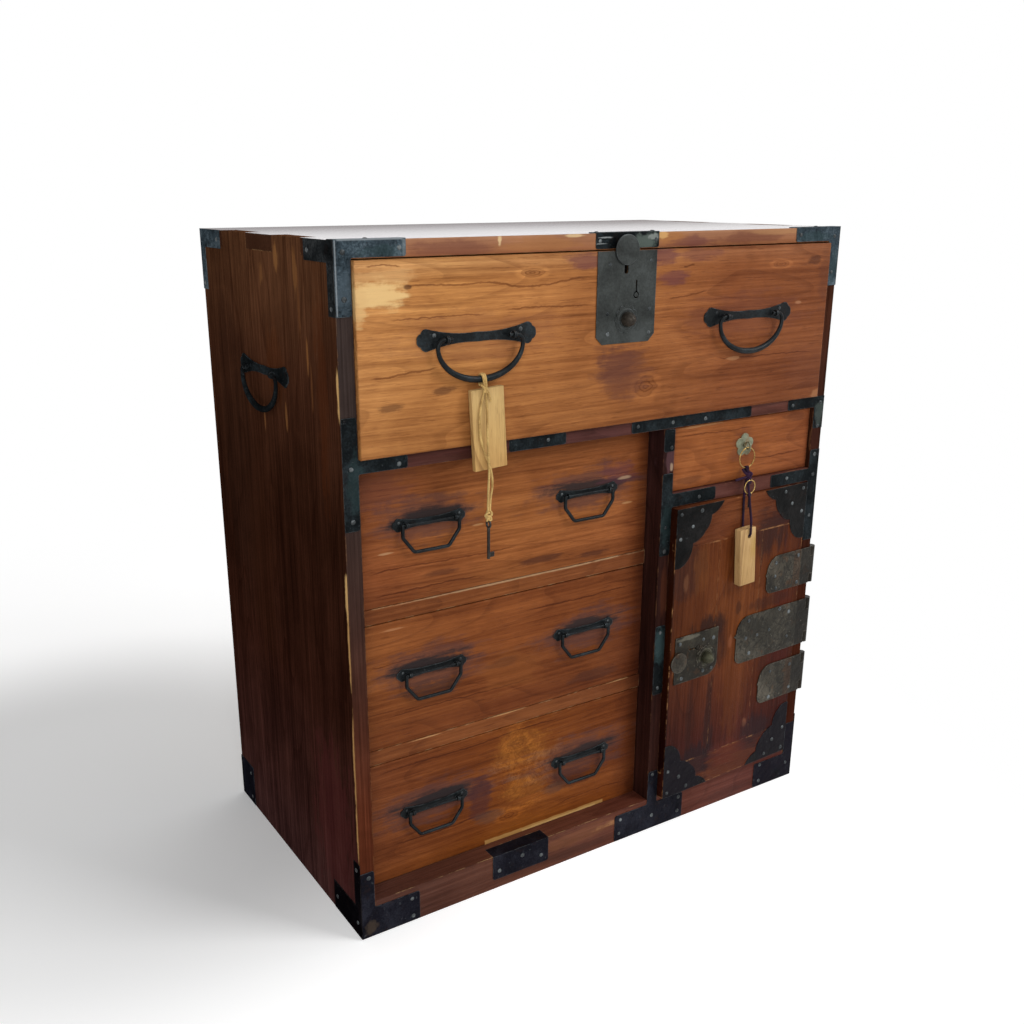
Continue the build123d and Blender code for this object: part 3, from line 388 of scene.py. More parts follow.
twineMaterial = cordMaterial("goldenTwine", rgb(0.32, 0.18, 0.055), rgb(0.68, 0.47, 0.18), 0.85)
purpleMaterial = cordMaterial("purpleBraid", rgb(0.005, 0.002, 0.006), rgb(0.032, 0.008, 0.034), 0.75)

for look, node, body, slot, material in (
    (twine, "left_twine", "tag", "yellow_twine", twineMaterial),
    (purple, "right_cord", "fob", "purple_cord", purpleMaterial),
):
    extras, strands = [], []
    for group in ("loops", "tails", "strands"):
        for number, points in enumerate(look[group], 1):
            line = nurbsLine(points)
            size = look
            if group == "loops" and "loopRadius" in look:
                size = {**look, "radius": look["loopRadius"], "pitch": cordLook["loopPitch"] * look["pitch"]}
            piece = twisted(f"{node}_{group}_{number}", line, size, material)
            if group == "strands":
                strands.append((piece, line))
            else:
                extras.append(piece)
    wrap = {
        **look, "radius": cordLook["knotRadius"] * look["radius"], "pitch": cordLook["knotPitch"] * look["pitch"],
    }
    for number, knot in enumerate(look["knots"], 1):
        extras.append(twisted(f"{node}_knot_{number}", knotLine(knot), wrap, material, closed=True))
    for piece in extras + [piece for piece, line in strands]:
        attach(piece, body)
        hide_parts(node)


print("stage: wood")

planes = {"XZ": (0, 2), "YZ": (1, 2), "XY": (0, 1)}


def fibres(coords, axis, along, across, shift=(0, 0, 0)):
    scale = [along if axis == name else across for name in "XYZ"]
    return placed(coords, scale, shift)


def reachFrom(coords, plane, at, size):
    # How far a point is from the middle of an ellipse, 1 at its rim
    middle, scale = [0, 0, 0], [0, 0, 0]
    for axis, place, half in zip(planes[plane], at, size):
        middle[axis] = place * mm
        scale[axis] = 1 / (half * mm)
    return norm(tinted(vector("SUBTRACT", coords, middle), scale))


def blot(coords, plane, mark, ragged):
    # A ragged patch: 1 inside, falling to 0 over its soft edge
    reach = reachFrom(coords, plane, mark[0:2], mark[2:4])
    return spread(plus(reach, ragged), 1.35, 0.65)


def marked(coords, plane, marks, ragged, colour):
    # Each mark: middle, half sizes, strength and colour
    for mark in marks:
        colour = stained(colour, blot(coords, plane, mark, ragged), mark[4], mark[5])
    return colour


def band(parts, box, wobble):
    # A patch with straight, soft edges that waver a little
    left, right, low, high = [value * mm for value in box]
    soft, softTall = 1 * mm, 0.7 * mm
    wide = plus(parts["X"], times(wobble, 1.5))
    tall = plus(parts["Z"], times(wobble, 0.5))
    inside = times(spread(wide, left - soft, left + soft), spread(wide, right + soft, right - soft))
    inside = times(inside, spread(tall, low - softTall, low + softTall))
    return times(inside, spread(tall, high + softTall, high - softTall))


def banded(parts, boxes, wobble, colour):
    # Each box: left, right, low, high, strength and colour
    for box in boxes:
        colour = stained(colour, band(parts, box[:4], wobble), box[4], box[5])
    return colour


def grainLine(parts, wobble, line):
    # A dark line that wanders through chosen points, thin at both ends
    points, width = line
    low, high = min(z for x, z in points) - 1, max(z for x, z in points) + 1
    start, end = points[0][0], points[-1][0]
    along = addNode("MapRange", {"Value": parts["X"], "From Min": start * mm, "From Max": end * mm}).outputs[0]
    stops = [((x - start) / (end - start), [(z - low) / (high - low)] * 3) for x, z in points]
    inputs = {"Value": ramp(along, stops, "B_SPLINE"), "To Min": low * mm, "To Max": high * mm}
    height = addNode("MapRange", inputs).outputs[0]
    off = maths("ABSOLUTE", plus(minus(parts["Z"], height), wobble))
    ends = times(spread(along, 0, 0.12), spread(along, 1, 0.86))
    return times(spread(off, width * mm, 0.3 * width * mm), ends)


def swirl(coords, plane, knot, ragged):
    # Rings round a knot, drawn out along the board
    reach = plus(reachFrom(coords, plane, knot[0:2], knot[2:4]), times(ragged, 0.35))
    rings = maths("SINE", times(reach, 16))
    dark = times(spread(rings, 0.1, 0.9), spread(reach, 1.25, 0.55))
    rim = times(spread(reach, 0.75, 1.05), spread(reach, 1.6, 1.15))
    return dark, rim


def edgeShare(coords, width, patchScale, low, high):
    # Where an edge has been rubbed: a wide bevel's normal parts from the face's own
    rounded = addNode("Bevel", {"Radius": width * mm}, samples=6).outputs[0]
    flat = addNode("NewGeometry").outputs["Normal"]
    facing = addNode("VectorMath", {0: rounded, 1: flat}, operation="DOT_PRODUCT").outputs["Value"]
    patches = spread(noise(coords, patchScale, 4, 0.65), low, high)
    return times(spread(facing, 0.999, 0.93), patches)


def weighed(values, shares):
    # The sum of some values, each with its share
    total = times(values[0], shares[0])
    for value, share in zip(values[1:], shares[1:]):
        total = plus(total, times(value, share))
    return total


def runColour(parts, axis, stops):
    # The board's colour, changing along one of its axes: its own tone, and on the fronts, rails, door and top also
    # painted light and shade
    low, high = stops[0][0], stops[-1][0]
    share = addNode("MapRange", {"Value": parts[axis], "From Min": low * mm, "From Max": high * mm}).outputs[0]
    return ramp(share, [((place - low) / (high - low), colour) for place, colour in stops])


woodTints = [
    (0.36, (0.57, 0.5, 0.46)), (0.45, (0.83, 0.79, 0.77)), (0.505, (1, 1, 1)), (0.56, (1.15, 1.19, 1.21)),
    (0.64, (1.45, 1.6, 1.68)),
]
headroom = 2


woodGrain = {
    "wander": 2.2, "bend": 0.014, "streak": (4.5, 270), "broad": (1.6, 42), "clouds": 9, "fine": (50, 1450),
    "ring": (1.1, 7), "rings": 16, "dash": (34, 620), "drawn": (14, 130), "ragged": 38, "wobble": (60, 0.006),
    "toneShares": (0.42, 0.3, 0.28), "raggedShares": (1.5, 2.2), "heightShares": (0.5, -0.35, -0.25, 0.8),
    "deep": (0.42, 0.34, 0.32), "pale": (1.5, 1.6, 1.7), "knotDark": (0.45, 0.36, 0.32), "knotRim": (1.5, 1.6, 1.6),
    "lineDark": (0.38, 0.28, 0.26), "curl": 22, "curls": 13, "turned": 30, "curlPale": (1.55, 1.75, 1.6),
    "curlDark": (0.72, 0.62, 0.55), "relief": 0.0006,
}


def woodMaterial(name, look):
    material, shader = newMaterial(name)
    coords = objectCoords()
    parts = axes(coords)
    axis, plane = look["grain"], look.get("plane", "XZ")
    shift = look.get("shift", (0, 0, 0))
    tints = [(place, [value / headroom for value in tint]) for place, tint in look.get("tints", woodTints)]
    placedCoords = placed(coords, (1, 1, 1), shift)
    wander = addNode("TexNoise", {"Vector": placedCoords, "Scale": woodGrain["wander"], "Detail": 2})
    centred = vector("SUBTRACT", wander.outputs["Color"], (0.5, 0.5, 0.5))
    wavy = vector("ADD", coords, tinted(centred, [look.get("bend", woodGrain["bend"])] * 3))
    along, across = woodGrain["streak"]
    streak = noise(fibres(wavy, axis, along, look.get("streaks", across), shift), 1, 5, 0.62)
    broad = noise(fibres(wavy, axis, *woodGrain["broad"], shift), 1, 3)
    cloud = noise(placedCoords, look.get("clouds", woodGrain["clouds"]), 4, 0.6, 0.6)
    fine = noise(fibres(coords, axis, *woodGrain["fine"], shift), 1, 2, 0.6)
    tone = weighed((streak, broad, cloud), woodGrain["toneShares"])

    def brightened(colour, factors):
        return tinted(tinted(colour, factors), [headroom] * 3)

    colour = brightened(runColour(parts, look.get("run", "X"), look["stops"]), ramp(tone, tints))
    # A second change across the board: on the fronts and door it is mostly painted shade along the edges, on the top
    # a painted reflection
    if "across" in look:
        axisName, stops = look["across"]
        share = [(place, [value / headroom for value in tint]) for place, tint in stops]
        colour = brightened(colour, runColour(parts, axisName, share))

    # Year rings, pores and dashes, all darker, and pale ticks
    slow = noise(fibres(wavy, axis, *woodGrain["ring"], shift), 1, 2, 0.4)
    rings = maths("FRACT", times(slow, woodGrain["rings"]))
    ringLine = times(spread(rings, 0.78, 0.96), spread(rings, 1, 0.985))
    pores = spread(fine, 0.58, 0.7)
    dash = spread(noise(fibres(wavy, axis, *woodGrain["dash"], shift), 1, 3, 0.6), 0.6, 0.68)
    deep = tinted(colour, woodGrain["deep"])
    colour = stained(colour, ringLine, look.get("ringShare", 0.3), deep)
    colour = stained(colour, dash, look.get("dashes", 0.5), deep)
    colour = stained(colour, pores, look.get("pores", 0.4), deep)
    ticks = spread(fine, 0.41, 0.31)
    colour = stained(colour, ticks, look.get("ticks", 0.35), tinted(colour, woodGrain["pale"]))

    # Knots, wandering lines, marks and bands, each at its own place
    speckled = minus(noise(coords, woodGrain["ragged"], 5, 0.7), 0.5)
    drawn = minus(noise(fibres(coords, axis, *woodGrain["drawn"]), 1, 4, 0.6), 0.5)
    ragged = weighed((speckled, drawn), woodGrain["raggedShares"])
    for knot in look.get("knots", []):
        dark, rim = swirl(coords, plane, knot, ragged)
        colour = stained(colour, dark, 0.6, tinted(colour, woodGrain["knotDark"]))
        colour = stained(colour, rim, 0.5, tinted(colour, woodGrain["knotRim"]))
    scale, size = woodGrain["wobble"]
    wobble = times(minus(noise(coords, scale, 3, 0.6), 0.5), size)
    for line in look.get("lines", []):
        mask = grainLine(parts, wobble, line)
        colour = stained(colour, mask, 0.75, tinted(colour, woodGrain["lineDark"]))
    colour = marked(coords, plane, look.get("marks", []), ragged, colour)
    if "burl" in look:
        # Close curly rings where the grain turns
        curls = noise(coords, woodGrain["curl"], 3, 0.6, 1.6)
        curls = maths("FRACT", times(curls, woodGrain["curls"]))
        turned = spread(noise(coords, woodGrain["turned"], 4, 0.7, 2), 0.38, 0.62)
        inside = blot(coords, plane, look["burl"], ragged)
        dim = tinted(colour, woodGrain["curlDark"])
        bright = tinted(colour, woodGrain["curlPale"])
        colour = stained(colour, inside, times(turned, 0.75), bright)
        colour = stained(colour, times(spread(curls, 0.55, 0.9), inside), 0.6, dim)
    colour = banded(parts, look.get("bands", []), wobble, colour)
    if "ends" in look:
        # Only the upper face is pale: dust, and a painted reflection of the bright surroundings
        height, sides = look["ends"]
        upper = spread(parts["Z"], (height - 0.4) * mm, (height - 0.1) * mm)
        dim = tinted(ramp(tone, tints), [value * headroom for value in sides])
        colour = blend(upper, dim, colour)
    if "corner" in look:
        # The board's front edge has the colours of the frame that it is part of
        place, stops = look["corner"]
        edge = spread(parts["Y"], (place + 0.3) * mm, (place - 0.3) * mm)
        front = brightened(runColour(parts, "Z", stops), ramp(tone, tints))
        front = marked(coords, "XZ", look.get("edgeMarks", []), ragged, front)
        colour = blend(edge, colour, front)
    worn = edgeShare(coords, look.get("wearWidth", 2.6), 55, 0.47, 0.62)
    colour = stained(colour, worn, look.get("wear", 0.6), look["worn"])
    tree.links.new(colour, shader.inputs["Base Color"])

    height = weighed((streak, pores, ringLine, cloud), woodGrain["heightShares"])
    bevel = addNode("Bevel", {"Radius": look.get("round", 1) * mm}, samples=4)
    relief = {"Height": height, "Distance": woodGrain["relief"], "Strength": 0.6, "Normal": bevel.outputs[0]}
    tree.links.new(addNode("Bump", relief).outputs[0], shader.inputs["Normal"])
    rough = look.get("rough", 0.5)
    tree.links.new(spread(tone, 0.4, 0.6, rough + 0.1, rough - 0.08), shader.inputs["Roughness"])
    shader.inputs["Specular IOR Level"].default_value = look.get("shine", 0.2)
    if "coat" in look:
        # Polish on the upper face alone, rubbed thinner towards the back
        coat = look["coat"]
        upper = spread(parts["Z"], (coat["height"] - 0.4) * mm, (coat["height"] - 0.1) * mm)
        depth = spread(parts["Y"], -0.21, 0.21, *coat["weights"])
        tree.links.new(times(upper, depth), shader.inputs["Coat Weight"])
        shader.inputs["Coat Roughness"].default_value = coat["rough"]
        soft = addNode("Bump", {"Height": height, "Distance": 0.2 * mm, "Strength": 0.2})
        tree.links.new(soft.outputs[0], shader.inputs["Coat Normal"])
    return material


brown, cream, plum = (0.05, 0.016, 0.01), (0.72, 0.52, 0.28), (0.1, 0.03, 0.045)
frontWood = {"grain": "X", "worn": (0.44, 0.22, 0.085), "wear": 0.5, "rough": 0.46, "shine": 0.08}

wideFront = {
    **frontWood,
    # Darker towards the right: partly the wood's own tone, partly painted shade, as the light falls from the left
    "stops": [
        (-360, (0.43, 0.185, 0.058)), (-250, (0.4, 0.165, 0.048)), (-150, (0.35, 0.135, 0.04)),
        (0, (0.29, 0.104, 0.031)), (180, (0.22, 0.068, 0.022)), (360, (0.19, 0.058, 0.02)),
    ],
    # Darker along the bottom and top edges: painted shade where the drawer meets the rails; paler and bluer just
    # under the top edge
    "across": ("Z", [
        (617, (0.62, 0.55, 0.5)), (627, (0.9, 0.88, 0.86)), (700, (1, 1, 1)), (760, (1.02, 1.02, 1.02)),
        (806, (1.05, 1.08, 1.08)), (824, (1.2, 1.4, 1.7)), (829, (0.9, 0.95, 1)),
    ]),
    "knots": [(-136, 809, 17, 5.5), (39, 662, 19, 15), (265, 805, 16, 5)],
    "lines": [
        (
            [(-315, 801), (-267, 802), (-228, 798), (-194, 803), (-164, 795), (-122, 793), (-72, 802), (-42, 799)],
            1.6,
        ),
        ([(-177, 769), (-130, 771), (-90, 768), (-47, 769)], 1.3), ([(69, 769), (104, 771), (136, 778)], 1.2),
        ([(-348, 823), (-326, 824), (-304, 822)], 1.4), ([(-324, 766), (-262, 767), (-193, 766)], 1.2),
        ([(-348, 705), (-316, 706), (-284, 709), (-258, 712)], 1.5), ([(92, 807), (102, 809), (112, 810)], 1.5),
        ([(150, 690), (220, 684), (290, 687), (345, 682)], 1.2),
    ],
    "marks": [
        (-336, 794, 30, 15, 0.85, (0.74, 0.5, 0.22)), (-357, 782, 10, 20, 0.7, (0.66, 0.42, 0.18)),
        (-330, 812, 40, 7, 0.5, (0.62, 0.36, 0.15)), (-56, 820, 26, 9, 0.6, plum), (60, 822, 22, 10, 0.6, plum),
        (76, 794, 22, 9, 0.55, plum), (120, 822, 40, 6, 0.35, plum), (2, 684, 40, 32, 0.6, (0.115, 0.04, 0.026)),
        (-8, 694, 26, 20, 0.35, (0.075, 0.026, 0.024)), (-297, 800, 5, 2.4, 0.7, brown),
        (-255, 684, 14, 4, 0.6, brown), (-323, 672, 18, 4, 0.55, brown), (304, 753, 7, 2.4, 0.6, (0.42, 0.2, 0.1)),
        (189, 686, 9, 2.5, 0.6, (0.45, 0.22, 0.1)), (331, 808, 12, 5, 0.6, brown),
        (356, 622, 10, 6, 0.5, (0.42, 0.2, 0.09)), (-210, 742, 100, 26, 0.28, (0.17, 0.06, 0.035)),
        # The marks at x 330 and x 352 darken the lower right and the right edge: painted shade beside the stile
        (210, 742, 100, 26, 0.3, (0.12, 0.04, 0.03)), (330, 660, 40, 30, 0.3, (0.11, 0.034, 0.02)),
        (352, 780, 10, 40, 0.4, (0.1, 0.032, 0.018)),
    ],
    "bands": [(-38, 42, 724, 829, 1, (0.012, 0.008, 0.006))],
}
smallFront = {
    **frontWood, "shift": (2, 0, 1),
    # Darker at both ends: painted shade where the drawer sits back between the posts
    "stops": [
        (99, (0.16, 0.048, 0.018)), (108, (0.255, 0.08, 0.022)), (230, (0.25, 0.076, 0.02)),
        (350, (0.21, 0.06, 0.018)), (360, (0.13, 0.036, 0.014)),
    ],
    # Darker along the bottom and top edges: painted shade under the rails
    "across": ("Z", [
        (512, (0.65, 0.58, 0.55)), (522, (0.95, 0.92, 0.92)), (590, (1, 1, 1)), (599, (0.85, 0.8, 0.78)),
    ]),
    "lines": [([(105, 585), (150, 587), (200, 583), (250, 586)], 1.1), ([(245, 540), (300, 537), (350, 541)], 1.2)],
    "marks": [
        (231, 556, 24, 22, 0.4, (0.11, 0.034, 0.022)), (128, 524, 22, 6, 0.4, brown), (330, 590, 24, 5, 0.4, brown),
        (140, 597, 40, 2, 0.6, (0.45, 0.22, 0.09)),
    ],
}
halo, soot = (0.075, 0.034, 0.032), (0.014, 0.014, 0.016)
# On each left drawer the colour darkens at the left end by the stile, from x 60 to 79 by the divider, and along the
# rails at its edges: painted shade in the recessed bank
leftFronts = {
    3: {
        "stops": [
            (-360, (0.12, 0.035, 0.012)), (-345, (0.215, 0.064, 0.019)), (-140, (0.275, 0.094, 0.025)),
            (30, (0.245, 0.078, 0.022)), (60, (0.19, 0.056, 0.016)), (79, (0.09, 0.025, 0.009)),
        ],
        "across": ("Z", [
            (447, (0.78, 0.72, 0.7)), (458, (1.12, 1.1, 1.12)), (520, (1, 1, 1)), (590, (0.9, 0.86, 0.86)),
            (612, (0.7, 0.62, 0.6)),
        ]),
        "lines": [
            ([(-350, 470), (-280, 473), (-200, 468), (-120, 471)], 1.3),
            ([(-110, 540), (-60, 543), (0, 541), (60, 544)], 1.2), ([(-340, 440), (-262, 443), (-180, 440)], 1.4),
        ],
        "marks": [
            (-257, 530, 74, 24, 0.6, halo), (-22, 530, 78, 24, 0.6, halo), (-255, 531, 55, 11, 0.9, soot),
            (-20, 531, 54, 10, 0.85, soot), (29, 543, 30, 12, 0.4, plum), (-7, 438, 22, 4, 0.6, brown),
            (-91, 446, 26, 4, 0.6, brown), (-238, 456, 20, 4, 0.5, brown),
            (-317, 493, 9, 1.2, 0.5, (0.5, 0.31, 0.16)), (-188, 508, 8, 1.2, 0.45, (0.5, 0.28, 0.12)),
            (46, 500, 7, 1.2, 0.5, (0.5, 0.28, 0.12)), (40, 536, 9, 2, 0.5, (0.5, 0.34, 0.2)),
            (-330, 575, 40, 22, 0.35, (0.1, 0.035, 0.03)),
        ],
    },
    2: {
        "stops": [
            (-360, (0.12, 0.034, 0.01)), (-345, (0.205, 0.062, 0.016)), (-140, (0.178, 0.049, 0.012)),
            (30, (0.17, 0.047, 0.012)), (60, (0.13, 0.034, 0.01)), (79, (0.07, 0.018, 0.008)),
        ],
        "across": ("Z", [
            (260, (0.7, 0.62, 0.58)), (272, (0.95, 0.93, 0.92)), (340, (1.05, 1.05, 1)), (412, (1, 1, 1)),
            (425, (0.8, 0.72, 0.68)),
        ]),
        "lines": [
            ([(-330, 280), (-250, 283), (-170, 279), (-90, 282)], 1.3), ([(-120, 380), (-40, 377), (60, 381)], 1.2),
            ([(-345, 350), (-300, 353), (-262, 351)], 1.3),
        ],
        "marks": [
            (-256, 334, 74, 28, 0.6, halo), (-22, 332, 76, 26, 0.6, halo), (-255, 339, 55, 11, 0.9, soot),
            (-20, 339, 54, 10, 0.85, soot), (-256, 306, 40, 10, 0.4, soot), (-4, 260, 34, 8, 0.55, brown),
            (-150, 314, 22, 6, 0.5, brown), (-310, 396, 16, 1.4, 0.5, (0.42, 0.2, 0.09)),
            (-140, 300, 46, 26, 0.3, (0.26, 0.085, 0.02)), (40, 290, 40, 24, 0.3, (0.11, 0.03, 0.012)),
        ],
    },
    1: {
        "stops": [
            (-360, (0.1, 0.028, 0.01)), (-345, (0.17, 0.048, 0.014)), (-200, (0.175, 0.046, 0.008)),
            (-120, (0.205, 0.056, 0.008)), (30, (0.165, 0.042, 0.008)), (60, (0.12, 0.03, 0.008)),
            (79, (0.07, 0.018, 0.007)),
        ],
        "across": ("Z", [(50, (1, 1, 1)), (120, (1, 1, 1)), (224, (0.92, 0.9, 0.9)), (240, (0.7, 0.62, 0.6))]),
        "knots": [(-128, 190, 18, 9), (-142, 84, 17, 7), (-96, 130, 12, 6)],
        "lines": [
            ([(-350, 205), (-280, 209), (-200, 204), (-120, 212), (-40, 208)], 1.4),
            ([(-320, 100), (-250, 96), (-190, 101), (-150, 98)], 1.3), ([(-60, 75), (0, 79), (60, 74)], 1.2),
        ],
        "marks": [
            (-250, 146, 84, 28, 0.6, halo), (-24, 142, 84, 30, 0.6, halo), (-254, 147, 58, 11, 0.9, soot),
            (-20, 147, 54, 10, 0.85, soot), (-188, 128, 16, 34, 0.6, (0.045, 0.013, 0.016)),
            (-40, 112, 34, 14, 0.45, (0.05, 0.015, 0.014)), (-175, 92, 20, 9, 0.5, (0.09, 0.045, 0.03)),
            (-67, 102, 18, 8, 0.5, (0.09, 0.045, 0.03)), (-118, 178, 44, 26, 0.25, (0.3, 0.11, 0.02)),
            (-118, 118, 34, 16, 0.25, (0.3, 0.11, 0.02)),
        ],
        "burl": (-118, 150, 52, 62),
        "bands": [
            (-182, 22, 49, 57, 0.75, (0.5, 0.28, 0.09)), (-120, 8, 49, 54, 0.6, (0.66, 0.43, 0.17)),
            (-360, -182, 49, 52, 0.6, (0.05, 0.02, 0.01)),
        ],
    },
}
material = woodMaterial("wideFrontWood", wideFront)
dress("wide_drawer_front", material)
dress("small_drawer_front", woodMaterial("smallFrontWood", smallFront))
for number, look in leftFronts.items():
    material = woodMaterial(f"leftFrontWood{number}", {**frontWood, "shift": (0.7 * number, 0, 0.3 * number), **look})
    dress(f"left_drawer_{number}_front", material)

railWood = {
    **frontWood, "grain": "X", "shift": (5, 0, 2), "worn": (0.5, 0.32, 0.16), "wear": 0.6, "wearWidth": 1.6,
    # Darker at the left end by the stile and from x 50 to 80 by the divider: painted shade
    "stops": [
        (-380, (0.12, 0.035, 0.013)), (-330, (0.165, 0.049, 0.014)), (-140, (0.185, 0.056, 0.015)),
        (50, (0.15, 0.043, 0.013)), (80, (0.08, 0.022, 0.009)),
    ],
    "marks": [
        (-262, 239, 22, 0.8, 0.7, (0.5, 0.28, 0.12)), (-139, 240, 26, 0.9, 0.7, (0.5, 0.28, 0.12)),
        (43, 240, 22, 0.8, 0.6, (0.45, 0.24, 0.1)), (-150, 426, 190, 1.2, 0.5, (0.5, 0.34, 0.19)),
        (20, 428, 40, 1.6, 0.6, (0.55, 0.38, 0.22)), (-200, 604, 60, 4, 0.6, brown), (260, 604, 50, 4, 0.5, brown),
    ],
}
darkRail = {
    **railWood, "worn": (0.34, 0.19, 0.1), "wear": 0.4,
    "stops": [
        (-380, (0.06, 0.02, 0.016)), (-200, (0.08, 0.026, 0.02)), (0, (0.085, 0.03, 0.026)),
        (380, (0.11, 0.036, 0.024)),
    ],
}
for name, look in (
    ("left_lower_shelf", railWood), ("left_upper_shelf", railWood), ("upper_shelf", darkRail),
    ("right_shelf", darkRail),
):
    dress(name, woodMaterial(name + "Wood", {**look, "shift": (len(name), 0, 1)}))
baseWood = {
    **railWood, "worn": (0.55, 0.36, 0.16), "wear": 0.5,
    "stops": [
        (-380, (0.07, 0.026, 0.018)), (-140, (0.105, 0.036, 0.02)), (150, (0.11, 0.03, 0.018)),
        (380, (0.092, 0.022, 0.016)),
    ],
    "marks": [
        (-40, 33, 60, 10, 0.4, (0.2, 0.075, 0.03)), (60, 34, 60, 5, 0.6, (0.44, 0.22, 0.09)),
        (240, 12, 60, 8, 0.4, (0.06, 0.02, 0.016)), (-60, 12, 60, 6, 0.4, (0.05, 0.02, 0.014)),
    ],
}
dress("base_rail", woodMaterial("baseWood", baseWood))

stileStops = [
    (0, (0.125, 0.034, 0.015)), (180, (0.11, 0.03, 0.014)), (420, (0.06, 0.03, 0.023)), (620, (0.048, 0.034, 0.03)),
    (850, (0.054, 0.038, 0.034)),
]
rightStileStops = [
    (0, (0.04, 0.011, 0.0065)), (300, (0.036, 0.01, 0.005)), (570, (0.052, 0.019, 0.013)),
    (850, (0.045, 0.016, 0.008)),
]
sideTints = [
    (0.38, (0.5, 0.48, 0.48)), (0.46, (0.76, 0.73, 0.73)), (0.505, (0.97, 0.96, 0.95)), (0.56, (1.22, 1.22, 1.22)),
    (0.63, (1.6, 1.6, 1.6)),
]
sideWood = {
    "grain": "Z", "plane": "YZ", "run": "Z", "worn": (0.24, 0.11, 0.045), "wear": 0.4, "wearWidth": 2.4,
    "rough": 0.55, "shine": 0, "tints": sideTints, "streaks": 330, "bend": 0.008, "ringShare": 0.4, "ticks": 0.5,
    "stops": [
        (0, (0.067, 0.028, 0.026)), (120, (0.052, 0.019, 0.015)), (300, (0.036, 0.0115, 0.0068)),
        (520, (0.037, 0.0125, 0.0065)), (700, (0.07, 0.026, 0.013)), (850, (0.116, 0.048, 0.022)),
    ],
    "marks": [
        (-51, 826, 6, 13, 0.6, (0.34, 0.15, 0.05)), (-3, 806, 5, 15, 0.5, (0.26, 0.11, 0.04)),
        (-106, 812, 6, 22, 0.5, (0.28, 0.12, 0.04)), (-112, 780, 3, 40, 0.4, (0.22, 0.085, 0.03)),
        (-130, 722, 2.6, 18, 0.6, (0.3, 0.125, 0.04)), (-138, 690, 2, 24, 0.4, (0.22, 0.085, 0.03)),
        (15, 628, 2.6, 14, 0.5, (0.26, 0.11, 0.04)), (-57, 640, 3.2, 13, 0.55, (0.28, 0.12, 0.04)),
        (-165, 690, 14, 130, 0.35, (0.09, 0.022, 0.006)), (-30, 700, 26, 40, 0.3, (0.1, 0.026, 0.006)),
        (-140, 120, 60, 110, 0.4, (0.09, 0.02, 0.02)), (120, 560, 60, 200, 0.3, (0.03, 0.013, 0.008)),
        (-209, 690, 4, 24, 0.95, (0.66, 0.4, 0.16)), (-209, 459, 5, 22, 0.95, (0.68, 0.42, 0.17)),
        (-209, 390, 3.2, 40, 0.8, (0.6, 0.34, 0.13)), (-209, 250, 3, 60, 0.75, (0.58, 0.32, 0.12)),
        (-209, 150, 3.2, 40, 0.75, (0.58, 0.32, 0.12)), (60, 440, 40, 150, 0.25, (0.055, 0.018, 0.008)),
    ],
}
dress("left_side", woodMaterial("leftSideWood", {**sideWood, "corner": (-209.5, stileStops)}))
rightMarks = [
    (120, 760, 4, 16, 0.4, (0.26, 0.11, 0.04)), (-60, 812, 4, 14, 0.45, (0.28, 0.12, 0.04)),
    (-209, 552, 3, 16, 0.5, (0.18, 0.08, 0.04)), (40, 470, 60, 150, 0.3, (0.03, 0.013, 0.008)),
    (-120, 140, 70, 90, 0.35, (0.085, 0.02, 0.016)),
]
rightSide = {**sideWood, "shift": (1, 2, 3), "marks": rightMarks, "corner": (-209.5, rightStileStops)}
dress("right_side", woodMaterial("rightSideWood", rightSide))
postWood = {
    **sideWood, "plane": "XZ", "shift": (3, 1, 0), "wear": 0.35, "shine": 0.04,
    "stops": [
        (0, (0.03, 0.01, 0.007)), (250, (0.025, 0.008, 0.006)), (430, (0.032, 0.011, 0.008)),
        (620, (0.032, 0.012, 0.011)),
    ],
    "marks": [
        (92, 556, 8, 13, 0.7, (0.085, 0.04, 0.045)), (95, 548, 2.5, 5, 0.8, (0.35, 0.24, 0.16)),
        (92, 372, 6, 30, 0.4, (0.1, 0.028, 0.012)),
    ],
}
dress("divider", woodMaterial("postWood", postWood))
topWood = {
    "grain": "X", "plane": "XY", "worn": (0.5, 0.3, 0.14), "wear": 0.45, "wearWidth": 1.6, "rough": 0.45,
    # The pale lilac grey of the upper face, brightest at the front, is dust and a painted reflection of the bright
    # surroundings seen at a grazing angle
    "shine": 0, "stops": [(-380, (0.34, 0.295, 0.32)), (0, (0.32, 0.265, 0.28)), (380, (0.27, 0.21, 0.21))],
    "across": ("Y", [(-210, (1.25, 1.25, 1.3)), (-60, (0.9, 0.9, 0.9)), (210, (0.5, 0.47, 0.45))]),
    "coat": {"height": 850, "weights": (1, 0.35), "rough": 0.12}, "ends": (850, (0.06, 0.024, 0.013)),
    "tints": [(0.36, (0.74, 0.7, 0.7)), (0.5, (1, 1, 1)), (0.64, (1.25, 1.28, 1.3))],
    "edgeMarks": [
        (-120, 840, 60, 8, 0.5, (0.36, 0.155, 0.055)), (-20, 838, 30, 10, 0.4, (0.4, 0.18, 0.06)),
        (80, 842, 26, 7, 0.6, (0.38, 0.16, 0.05)), (110, 838, 34, 7, 0.5, plum),
        (-240, 838, 50, 8, 0.45, (0.13, 0.045, 0.04)), (200, 840, 60, 7, 0.5, (0.14, 0.048, 0.036)),
        (260, 846, 50, 3, 0.5, (0.42, 0.22, 0.1)), (-177, 845, 3, 5, 0.8, cream), (-72, 848, 14, 2, 0.7, cream),
        (62, 846, 7, 4, 0.8, (0.62, 0.36, 0.14)),
    ],
    "corner": (-209.5, [(831, (0.265, 0.103, 0.046)), (850, (0.37, 0.18, 0.1))]), "pores": 0.2, "ticks": 0.2,
    "ringShare": 0.2,
}
dress("top_board", woodMaterial("topWood", topWood))

